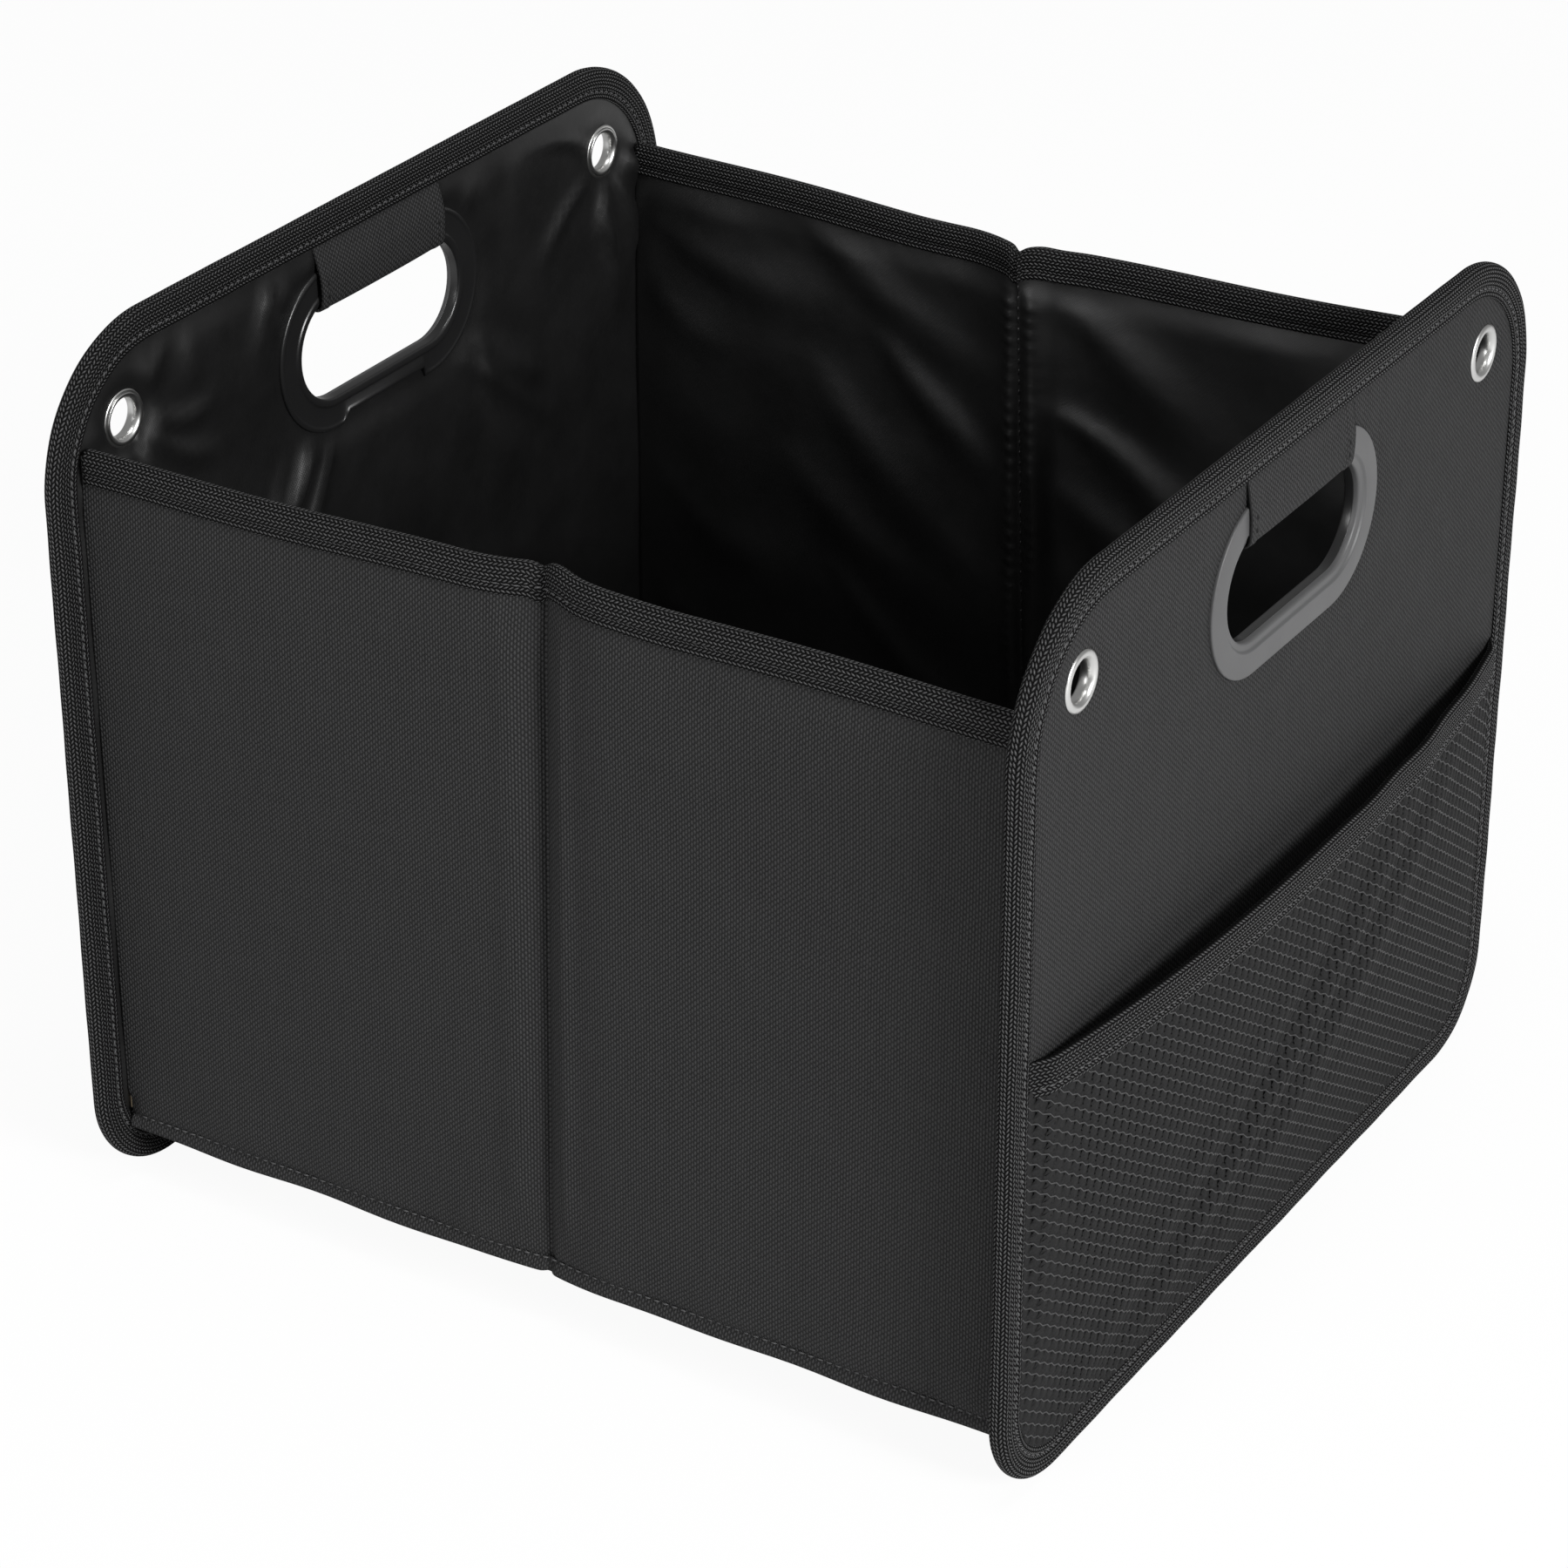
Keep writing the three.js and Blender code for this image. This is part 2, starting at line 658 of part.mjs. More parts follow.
// A sheet of the floor, from its outer bend radius, its thickness, the height of its underside,
// how far its turned-up edge lies out from the wall's middle line, and that edge's top.
function floorSheet({ radius, thickness, low, edgeOffset, top }) {
  const bend = (r, level, edge) => {
    const first = Math.asin(Math.min((bottomCornerRadius - level) / r, 1));
    const last = Math.acos((edge - floorBendY) / r);
    const points = [];
    for (let i = 0; i <= floorBendSteps; i++) {
      const angle = first + (last - first) * (i / floorBendSteps);
      points.push([floorBendY + r * Math.cos(angle), bottomCornerRadius - r * Math.sin(angle)]);
    }
    return [...points, [edge, top]];
  };
  const front = (list) => list.map(([y, z]) => [-y, z]);
  const rings = wallLine(top, Math.max(frontLean, backLean)).map((place) => {
    const edge = edgeOffset - place.y;
    const outer = bend(radius, low, edge);
    const inner = bend(radius - thickness, low + thickness, edge - thickness);
    const outline = [...front(outer).reverse(), ...outer, ...[...inner].reverse(), ...front(inner)];
    return outline.map(([y, z]) => new THREE.Vector3(place.x, y, z));
  });
  return skinOver(rings, false);
}

function floorBoard(side) {
  const length = wallEnd - boardInset - boardCreaseGap;
  const board = new THREE.BoxGeometry(length, 2 * floorBendY, boardThickness);
  return board.translate(side * (boardCreaseGap + length / 2), 0, floorBoardLow + boardFace);
}

function floor() {
  const group = new THREE.Group();
  const cover = floorSheet({
    radius: bottomCornerRadius - floorLow,
    thickness: floorThickness,
    low: floorLow,
    edgeOffset: coverInner - clearance,
    top: wallSeam,
  });
  const lining = floorSheet({
    radius: bottomCornerRadius - floorLow - floorThickness - clearance,
    thickness: liningThickness,
    low: floorLiningLow,
    edgeOffset: -liningFace - clearance,
    top: wallSeam + floorTuck,
  });
  group.add(named("floor_cover", cover, "polyester"));
  group.add(named("floor_board_left", floorBoard(-1), "board"));
  group.add(named("floor_board_right", floorBoard(1), "board"));
  group.add(named("floor_lining", lining, "lining"));
  return group;
}

const organizer = new THREE.Group();
const rightPanel = endPanel("right", ["back", "front"]);
const leftPanel = new THREE.Group();
leftPanel.add(endPanel("left", ["front", "back"]));
leftPanel.rotation.z = Math.PI;
const backWall = sideWall("back", backLean);
backWall.rotation.z = Math.PI;
organizer.add(leftPanel, rightPanel, sideWall("front", frontLean), backWall, floor());

export default organizer;
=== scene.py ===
"""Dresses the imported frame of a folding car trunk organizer: woven covers, a glossy lining,
bound edges, knitted mesh pockets, moulded handle rings, eyelets and stitching."""
import math
import random

import bmesh
import bpy
import numpy as np
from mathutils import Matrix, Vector
from mathutils.geometry import delaunay_2d_cdt


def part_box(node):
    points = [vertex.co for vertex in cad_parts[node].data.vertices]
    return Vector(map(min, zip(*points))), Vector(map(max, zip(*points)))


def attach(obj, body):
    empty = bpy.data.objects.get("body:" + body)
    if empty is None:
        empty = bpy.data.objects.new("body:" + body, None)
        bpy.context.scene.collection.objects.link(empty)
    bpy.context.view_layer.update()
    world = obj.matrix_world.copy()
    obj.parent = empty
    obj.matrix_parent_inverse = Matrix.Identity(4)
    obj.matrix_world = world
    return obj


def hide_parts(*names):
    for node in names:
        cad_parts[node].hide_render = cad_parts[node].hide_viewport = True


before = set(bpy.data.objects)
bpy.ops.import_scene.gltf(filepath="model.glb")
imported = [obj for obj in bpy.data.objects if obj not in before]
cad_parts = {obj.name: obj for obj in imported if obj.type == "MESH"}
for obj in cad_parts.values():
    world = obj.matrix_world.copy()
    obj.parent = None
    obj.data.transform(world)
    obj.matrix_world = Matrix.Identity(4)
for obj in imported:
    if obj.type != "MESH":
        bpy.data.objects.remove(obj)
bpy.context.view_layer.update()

MM = 0.001
BODY = "root"

# The left end and the back wall are the right end and the front wall turned half round. The outer
# faces count as plus.
TURN = {"right": 1, "left": -1, "front": 1, "back": -1}
FACE = {"out": 1, "in": -1}

# Places read from the frame. An end panel's own axes are u along its width, v up and h outwards.
binding_low, binding_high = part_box("end_binding_right")
PANEL_X = (binding_low.x + binding_high.x) / 2
PANEL_HALF = binding_high.y
PANEL_TOP = binding_high.z
COVER_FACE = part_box("end_cover_right")[1].x - PANEL_X
LINING_FACE = PANEL_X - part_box("end_lining_right")[0].x
wall_low, wall_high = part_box("front_wall_cover")
WALL_END = wall_high.x
WALL_MIDDLE = -wall_low.y - COVER_FACE
WALL_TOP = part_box("front_wall_binding")[1].z
WALL_TAPE_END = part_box("front_wall_binding")[1].x
LIP_LOW = wall_low.z
WALL_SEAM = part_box("front_wall_lining")[0].z
FLOOR_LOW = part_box("floor_cover")[0].z
FLOOR_LINING_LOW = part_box("floor_lining")[0].z
FLOOR_LINING_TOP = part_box("floor_lining")[1].z
ring_low, ring_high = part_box("handle_ring_outer_right")
RING_V = (ring_low.z + ring_high.z) / 2
RING_OUT = (ring_high.z - ring_low.z) / 2
RING_STRAIGHT = ring_high.y - RING_OUT
wrap_low, wrap_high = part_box("handle_wrap_right")
WRAP_LOW = wrap_low.z
WRAP_HALF = (wrap_high.y - wrap_low.y) / 2
eyelet_low, eyelet_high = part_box("eyelet_back_right")
EYELET_U = (eyelet_low.y + eyelet_high.y) / 2
EYELET_V = (eyelet_low.z + eyelet_high.z) / 2
POCKET_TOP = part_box("pocket_hem_right")[1].z
POCKET_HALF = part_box("mesh_pocket_right")[1].y

# Sizes that the frame's boxes don't give
TOP_RADIUS = 50 * MM
BOTTOM_RADIUS = 34 * MM
CLOTH = 0.5 * MM
CLOTH_INSET = 4 * MM
WALL_CLOTH_TOP = WALL_TOP - 3 * MM
TAPE_WIDTH = 11 * MM
TAPE_ROLL = 3 * MM
STITCH_INSET = 2.9 * MM
STITCH_GAP = 1.1 * MM
STITCH_RISE = 0.25 * MM
RING_OPENING = 18 * MM
RING_WALL = RING_OPENING + 1.5 * MM
RING_MEETING = 0.4 * MM  # where the two halves meet inside the hole
BARREL_CUT = RING_OPENING + 4.2 * MM
EYELET_CUT = 6.8 * MM
WRAP_PROUD = 1 * MM
HEM_HEIGHT = 12 * MM
POCKET_BULGE = 15 * MM
CELL_WIDE = 4.07 * MM
CELL_HIGH = 4.6 * MM
CELL_DROP = 2.72 * MM  # from each stitch down to the next one along its row
CREASE_DIP = 6 * MM
CREASE_HALF = 26 * MM
CREASE_FLOOR_SHARE = 0.35
LEAN = {"front": 3 * MM, "back": 12 * MM}

# The cloth is drawn in to this height at its edges and round its holes. The tape, the rings and
# the eyelets sink in with it, so they stand a little lower than the plain solids.
PINCHED = 1.8 * MM
TAPE_SLOT = PINCHED + 0.2 * MM
TAPE_FACE = TAPE_SLOT + 0.95 * MM
STITCH_FACE = TAPE_FACE * 0.83
SUNK = 1.5 * MM
RING_FACE = ring_high.x - PANEL_X - SUNK
RING_INNER_FACE = PANEL_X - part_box("handle_ring_inner_right")[0].x - SUNK

# The photograph's view, and its lamps: the place, the width and the power of each
LENS = 110.2
CAMERA_PLACE = (0.7231, -1.1853, 0.8805)
CAMERA_TARGET = (0.3194, -0.5317, 0.4616)
LAMPS = {"key": ((2.7, -0.8, 1.5), 1.1, 106),
         "front": ((-0.5, -2.9, 1.3), 1.1, 27),
         "top": ((0.3, -0.5, 2.6), 0.8, 20)}
LAMP_TARGET = (0, 0, 0.15)
SKY_LEVEL = 0.3
FLOOR_WHITE = 0.94
FLOOR_SIZE = 6.0


# Mesh building

def link(mesh, material):
    """Makes a piece of a mesh. It rides on the box and takes its finish from a slot."""
    piece = bpy.data.objects.new(mesh.name, mesh)
    bpy.context.collection.objects.link(piece)
    mesh.materials.append(material)
    mesh.polygons.foreach_set("use_smooth", [True] * len(mesh.polygons))
    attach(piece, BODY)
    return piece


def mesh_of(name, points, faces, uvs, uv_faces=None):
    """A mesh whose cloth map holds distances in metres. uv_faces indexes uvs as faces do points."""
    mesh = bpy.data.meshes.new(name)
    mesh.from_pydata([tuple(p) for p in points], [], [tuple(f) for f in faces])
    layer = mesh.uv_layers.new(name="cloth")
    corners = np.concatenate([np.asarray(f) for f in (uv_faces or faces)])
    layer.uv.foreach_set("vector", np.asarray(uvs, float)[corners].ravel())
    return mesh


def face_out(mesh):
    work = bmesh.new()
    work.from_mesh(mesh)
    bmesh.ops.recalc_face_normals(work, faces=work.faces)
    work.to_mesh(mesh)
    work.free()


def along(points):
    """Distances along a row of points."""
    steps = np.linalg.norm(np.diff(points, axis=0), axis=1)
    return np.concatenate([[0], np.cumsum(steps)])


def unit(vectors):
    return vectors / np.linalg.norm(vectors, axis=-1, keepdims=True)


def grid_mesh(name, points, loop=False, tube=False):
    """A mesh over rows of points. loop joins the last row to the first, and tube the columns."""
    n, m = points.shape[:2]
    rows = n if loop else n - 1
    columns = m if tube else m - 1
    i, j = np.meshgrid(np.arange(rows), np.arange(columns), indexing="ij")
    corners = [(i, j), (i + 1, j), (i + 1, j + 1), (i, j + 1)]
    faces = np.stack([(a % n) * m + b % m for a, b in corners], -1).reshape(-1, 4)
    uv_faces = np.stack([a * (columns + 1) + b for a, b in corners], -1).reshape(-1, 4)
    around = np.concatenate([points, points[:1]]) if loop else points
    across = np.concatenate([points[0], points[0][:1]]) if tube else points[0]
    u = along(around.mean(axis=1))
    v = along(across)
    uvs = np.stack(np.meshgrid(u, v, indexing="ij"), -1).reshape(-1, 2)
    faces, uv_faces = faces.tolist(), uv_faces.tolist()
    if tube and not loop:
        faces += [list(range(m)), list(range((n - 1) * m, n * m))]
        uv_faces += [list(range(m)), list(range((n - 1) * (m + 1), (n - 1) * (m + 1) + m))]
    return mesh_of(name, points.reshape(-1, 3), faces, uvs, uv_faces)


def solid(name, points, material, loop=False):
    """A closed piece: rings of points, joined into a loop or with its ends filled in."""
    mesh = grid_mesh(name, points, loop, tube=True)
    face_out(mesh)
    return link(mesh, material)


def thicken(piece, thickness=CLOTH):
    """Gives a sheet its thickness on the side away from its normals."""
    solidify = piece.modifiers.new("thickness", "SOLIDIFY")
    solidify.thickness = thickness
    solidify.offset = -1
    graph = bpy.context.evaluated_depsgraph_get()
    mesh = bpy.data.meshes.new_from_object(piece.evaluated_get(graph))
    piece.modifiers.clear()
    piece.data = mesh
    return piece


def facing(mesh, outward):
    """Turns a sheet's faces so that they look along a direction on the whole."""
    normals = np.empty(len(mesh.polygons) * 3)
    mesh.polygons.foreach_get("normal", normals)
    if normals.reshape(-1, 3).mean(axis=0) @ np.asarray(outward, float) < 0:
        mesh.flip_normals()


def to_end(side, u, v, h):
    """Turns an end panel's own places into places in the frame."""
    turn = TURN[side]
    return np.stack(np.broadcast_arrays(turn * (PANEL_X + h), turn * u, v), -1)


def to_wall(wall, x, z, depth):
    """Turns a wall's places, with their depth into the box, into places in the frame."""
    turn = TURN[wall]
    return np.stack(np.broadcast_arrays(turn * x, turn * (depth - WALL_MIDDLE), z), -1)


def look_of(place, face):
    """The direction in which the outer or the inner face of an end or a wall looks."""
    turn = TURN[place] * FACE[face]
    return (turn, 0, 0) if place in ("right", "left") else (0, -turn, 0)


def ramp(x, low, high):
    """A smooth rise from 0 to 1 between two places in millimetres."""
    t = np.clip((x / MM - low) / (high - low), 0, 1)
    return t * t * (3 - 2 * t)


def hump(x, middle, width):
    """A round ridge of height 1, with its middle and its half width in millimetres."""
    return np.exp(-((x - middle * MM) / (width * MM)) ** 2)


def wave(x, length, phase=0.0):
    """A sine wave with its length in millimetres."""
    return np.sin(x / (length * MM) * 2 * math.pi + phase)


class Draw(random.Random):
    """Seeded draws, with lengths in millimetres."""

    def length(self, low, high):
        return self.uniform(low, high) * MM


def folds_at(u, v, folds):
    """Height of soft folds that are bowed aside and fade at their ends. Each is given by its
    start, the way to its end, its width, its height and its bow."""
    height = np.zeros_like(u)
    for u0, v0, du, dv, width, top, bow in folds:
        length = math.hypot(du, dv)
        du, dv = du / length, dv / length
        way = (u - u0) * du + (v - v0) * dv
        t = np.clip(way / length, 0, 1)
        aside = -(u - u0) * dv + (v - v0) * du - bow * 4 * t * (1 - t)
        spread = width * (0.6 + 0.7 * t)
        ridge = np.exp(-((aside / spread) ** 2) - ((way - t * length) / spread) ** 2)
        height += top * ridge * np.sin(np.pi * (0.06 + 0.88 * t)) ** 0.7
    return height


def ripple(u, v, seed, scale, height, count=9):
    """Low waves of cloth, the same each run."""
    draw = random.Random(seed)
    total = np.zeros_like(u)
    for _ in range(count):
        angle = draw.uniform(0, math.pi)
        length = scale * draw.uniform(0.6, 1.7)
        phase = draw.uniform(0, 2 * math.pi)
        total += np.sin(2 * math.pi * (u * math.cos(angle) + v * math.sin(angle)) / length + phase)
    return height * total / math.sqrt(count)


# Materials

class Look:
    """A material's nodes, built by short calls that return sockets."""

    def __init__(self, name, color, roughness, specular=0.5, metallic=0.0):
        self.material = bpy.data.materials.new(name)
        self.material.use_nodes = True
        self.tree = self.material.node_tree
        self.shader = self.tree.nodes["Principled BSDF"]
        for key, value in (("Base Color", (*color, 1)), ("Roughness", roughness),
                           ("Specular IOR Level", specular), ("Metallic", metallic)):
            self.set(self.shader, key, value)

    def set(self, node, key, value):
        if isinstance(value, bpy.types.NodeSocket):
            self.tree.links.new(value, node.inputs[key])
        else:
            node.inputs[key].default_value = value

    def node(self, kind, settings=None, **inputs):
        node = self.tree.nodes.new(kind)
        for key, value in (settings or {}).items():
            setattr(node, key, value)
        for key, value in inputs.items():
            self.set(node, key.replace("_", " "), value)
        return node

    def math(self, operation, a, b=0.0, c=0.0):
        node = self.node("ShaderNodeMath", {"operation": operation})
        for i, value in enumerate((a, b, c)):
            self.set(node, i, value)
        return node.outputs[0]

    def cloth_map(self):
        """Distances along and across the cloth, in millimetres."""
        place = self.node("ShaderNodeUVMap", {"uv_map": "cloth"}).outputs[0]
        parts = self.node("ShaderNodeSeparateXYZ", Vector=place)
        return [self.math("MULTIPLY", parts.outputs[i], 1000) for i in (0, 1)]

    def noise(self, scale, detail=3.0, roughness=0.5, vector=None):
        """Noise in the piece's own space, unless it is given another place to look up."""
        vector = vector or self.node("ShaderNodeTexCoord").outputs["Object"]
        return self.node("ShaderNodeTexNoise", Vector=vector, Scale=scale, Detail=detail,
                         Roughness=roughness).outputs["Fac"]

    def streaks(self, u, v, across, along_it):
        """Uneven threads: noise drawn out along the cloth or across it."""
        place = self.node("ShaderNodeCombineXYZ", X=self.math("MULTIPLY", u, across),
                          Y=self.math("MULTIPLY", v, along_it))
        return self.noise(1.0, 2.0, 0.6, place.outputs[0])

    def vary(self, key, factor, low, high):
        """Sets an input of the shader by a factor, with 0 to 1 mapped onto low to high."""
        node = self.node("ShaderNodeMapRange", Value=factor, To_Min=low, To_Max=high)
        self.set(self.shader, key, node.outputs["Result"])

    def tint(self, factor, dark, light):
        mix = self.node("ShaderNodeMix", {"data_type": "RGBA"})
        self.set(mix, "Factor", factor)
        mix.inputs[6].default_value = (*dark, 1)
        mix.inputs[7].default_value = (*light, 1)
        self.set(self.shader, "Base Color", mix.outputs[2])

    def bump(self, height, distance, strength=1.0):
        node = self.node("ShaderNodeBump", Height=height, Distance=distance, Strength=strength)
        if self.shader.inputs["Normal"].is_linked:
            before = self.shader.inputs["Normal"].links[0].from_socket
            self.set(node, "Normal", before)
        self.set(self.shader, "Normal", node.outputs[0])

    def knots(self, u, v, pitch_u, pitch_v, slant=0.0, shift=0.5):
        """Threads that cross over each other in rows. Each row is shifted by a share of the pitch
        from the last, and every other one is slanted the other way."""
        op = self.math
        row = op("FLOOR", op("DIVIDE", v, pitch_v))
        odd = op("MODULO", op("ABSOLUTE", row), 2.0)
        y = op("SUBTRACT", op("FRACT", op("DIVIDE", v, pitch_v)), 0.5)
        way = op("MULTIPLY_ADD", odd, 2.0 * slant, -slant)
        shifted = op("MULTIPLY_ADD", row, shift, op("DIVIDE", u, pitch_u))
        x = op("SUBTRACT", op("FRACT", op("MULTIPLY_ADD", y, way, shifted)), 0.5)
        round_x = op("MULTIPLY", x, op("MULTIPLY", x, 4.6))
        round_y = op("MULTIPLY", y, op("MULTIPLY", y, 4.0))
        return op("MAXIMUM", op("SUBTRACT", 1.0, op("ADD", round_x, round_y)), 0.0)


def grey(value):
    return (value, value, value * 1.02)


def polyester_look(name, turned):
    """Woven cover cloth. Its knots lie upright on the panels or, turned, on the wraps, and wander
    a little from their rows."""
    look = Look(name, grey(0.018), 0.8, specular=0.22)
    u, v = look.cloth_map()
    if turned:
        u, v = v, u
    wander = look.math("MULTIPLY", look.noise(330.0, 1.0), 0.9)
    threads = look.knots(look.math("ADD", v, wander), u, 1.88, 1.0)
    uneven = look.math("ADD", look.streaks(u, v, 0.9, 0.05), look.streaks(u, v, 0.05, 0.9))
    # The colour follows the knots: painted shade in the gaps between them and painted highlight on their
    # tops. The streaks add the threads' own uneven tone.
    shade = look.math("MULTIPLY_ADD", threads, 0.9, look.math("MULTIPLY", uneven, 0.22))
    look.tint(shade, grey(0.0015), grey(0.0355))
    look.vary("Roughness", look.noise(55.0, 4.0), 0.7, 0.86)
    look.bump(threads, 0.45 * MM)
    look.bump(uneven, 0.3 * MM, 0.5)
    return look.material


def tape_look(name, along_it, across, slant):
    """Heavy woven tape: beads of thread, with painted highlight on the beads and painted shade in the
    gaps between them.
    """
    look = Look(name, grey(0.02), 0.5)
    u, v = look.cloth_map()
    threads = look.knots(u, v, along_it, across, slant)
    beads = look.math("MAXIMUM", look.math("MULTIPLY_ADD", threads, 1.5, -0.35), 0.0)
    worn = look.math("MULTIPLY_ADD", look.noise(260.0), 0.5, 0.65)
    # Painted highlight on the beads and painted shade in the gaps; the noise adds the tape's own uneven
    # tone.
    look.tint(look.math("MULTIPLY", beads, worn), grey(0.003), grey(0.07))
    look.vary("Roughness", threads, 0.85, 0.5)
    look.vary("Specular IOR Level", beads, 0.05, 0.5)
    look.bump(threads, 1.3 * MM)
    return look.material


def lining_look():
    look = Look("coated_lining", grey(0.0035), 0.44, specular=0.62)
    u, v = look.cloth_map()
    threads = look.knots(u, v, 0.7, 0.4)
    cloudy = look.noise(38.0, 4.0, 0.6)
    look.tint(cloudy, grey(0.0015), grey(0.005))
    look.vary("Roughness", cloudy, 0.37, 0.51)
    look.bump(threads, 0.05 * MM, 0.5)
    look.bump(look.noise(120.0, 3.0), 0.3 * MM, 0.6)
    return look.material


def knit_look():
    look = Look("knit_yarn", grey(0.012), 0.75, specular=0.1)
    fuzz = look.noise(1500.0, 2.0)
    look.tint(fuzz, grey(0.006), grey(0.021))
    look.bump(fuzz, 0.2 * MM, 0.8)
    return look.material


def row_look():
    look = Look("knit_row_yarn", grey(0.05), 0.55, specular=0.45)
    fuzz = look.noise(700.0, 2.0)
    look.tint(fuzz, grey(0.012), grey(0.065))
    look.bump(fuzz, 0.1 * MM, 0.5)
    return look.material


def thread_look():
    look = Look("stitch_thread", grey(0.05), 0.55, specular=0.45)
    twist = look.noise(2500.0, 1.0)
    look.tint(twist, grey(0.03), grey(0.075))
    look.bump(twist, 0.08 * MM, 0.6)
    return look.material


def ring_look(name, shade, roughness):
    look = Look(name, grey(shade), roughness)
    look.vary("Roughness", look.noise(70.0), roughness - 0.06, roughness + 0.06)
    look.tint(look.noise(45.0), grey(shade * 0.9), grey(shade * 1.1))
    look.bump(look.noise(900.0, 3.0), 0.02 * MM, 0.5)
    return look.material


def steel_look():
    look = Look("nickel_plate", (0.6, 0.6, 0.59), 0.3, metallic=1.0)
    look.vary("Roughness", look.noise(120.0, 2.0), 0.28, 0.36)
    return look.material


def board_look():
    look = Look("raw_board", (0.30, 0.24, 0.16), 0.9)
    fibre = look.noise(180.0, 5.0)
    look.tint(fibre, (0.22, 0.17, 0.11), (0.36, 0.29, 0.20))
    look.bump(fibre, 0.1 * MM, 0.5)
    return look.material


POLYESTER = polyester_look("polyester_weave", False)
STRAP = polyester_look("polyester_weave_turned", True)
TAPE = tape_look("binding_weave", 1.6, 1.25, 0.8)
HEM = tape_look("hem_weave", 1.6, 1.2, 0.8)
LINING = lining_look()
KNIT = knit_look()
ROW = row_look()
THREAD = thread_look()
# The two ring halves are copies of one plastic: the outer half's grey is painted light for what it
# reflects outside the box, and the inner half's near black is painted shade for the inside of the box.
# They also differ in roughness.
RING = ring_look("satin_plastic_painted_light", 0.06, 0.46)
SHADED_GLOSS_RING = ring_look("gloss_plastic_painted_shade", 0.010, 0.30)
STEEL = steel_look()
BOARD = board_look()


# Stitching

def stitches(name, places, up, length=2.2 * MM, width=0.38 * MM, material=THREAD):
    """A row of sunk stitches along a line, each a small spindle of thread. up looks off the cloth."""
    distance = along(places)
    count = max(int(distance[-1] / (length + STITCH_GAP)), 1)
    middle = (np.arange(count) + 0.5) * distance[-1] / count

    def at(d):
        return np.stack([np.interp(d, distance, places[:, k]) for k in range(3)], -1)

    up = np.array(up, float)
    start, end = at(middle - length / 2), at(middle + length / 2)
    side = np.cross(unit(end - start), up)
    points = []
    for share, size in ((0.0, 0.3), (0.3, 1.0), (0.7, 1.0), (1.0, 0.3)):
        centre = start + (end - start) * share + up * STITCH_RISE * (4 * share * (1 - share) - 0.55)
        for angle in np.radians([0, 90, 180, 270]):
            points.append(centre + (side * math.cos(angle) + up * math.sin(angle)) * width * size)
    bundle = np.stack(points, 1).reshape(count, 4, 4, 3)
    return yarn_piece(name, [bundle], material)


# End panels

def arc(u, v, radius, first, turn, steps):
    """Places along an arc, its ends included. Its angles are in degrees."""
    angles = [math.radians(first + turn * i / steps) for i in range(steps + 1)]
    return [(u + radius * math.cos(a), v + radius * math.sin(a)) for a in angles]


def heading(angle):
    return np.array([math.cos(angle), math.sin(angle)])


def edge_stations(step):
    """Places round an end panel's edge with the way out at each, from its foot's middle."""
    low, high = BOTTOM_RADIUS, PANEL_TOP - TOP_RADIUS
    places = [(0.0, 0.0, 0.0, -1.0)]
    for first, across, cv, radius in ((-90, 1, low, BOTTOM_RADIUS), (0, 1, high, TOP_RADIUS),
                                      (90, -1, high, TOP_RADIUS), (180, -1, low, BOTTOM_RADIUS)):
        cu = across * (PANEL_HALF - radius)
        turns = max(int(radius * math.pi / 2 / step), 4)
        places += [(cu + radius * a, cv + radius * b, a, b) for a, b in arc(0, 0, 1, first, 90, turns)]
    places.append(places[0])
    dense = []
    for a, b in zip(places, places[1:]):
        a, b = np.array(a), np.array(b)
        steps = max(int(np.linalg.norm(b[:2] - a[:2]) / step), 1)
        dense += [a + (b - a) * k / steps for k in range(steps)]
    return np.array(dense)


def edge_inset(u, v):
    """How far a place on an end panel lies inside its edge."""
    upper = v > PANEL_TOP / 2
    radius = np.where(upper, TOP_RADIUS, BOTTOM_RADIUS)
    du = np.abs(u) - (PANEL_HALF - radius)
    dv = np.where(upper, v - (PANEL_TOP - radius), radius - v)
    corner = radius - np.hypot(np.maximum(du, 0), np.maximum(dv, 0))
    straight = np.minimum(PANEL_HALF - np.abs(u), np.minimum(v, PANEL_TOP - v))
    return np.where((du > 0) & (dv > 0), corner, straight)


def ring_distance(u, v):
    """Distance from the middle line of the hand hole."""
    return np.hypot(np.maximum(np.abs(u) - RING_STRAIGHT, 0), v - RING_V)


def eyelet_distance(u, v):
    return np.hypot(np.abs(u) - EYELET_U, v - EYELET_V)


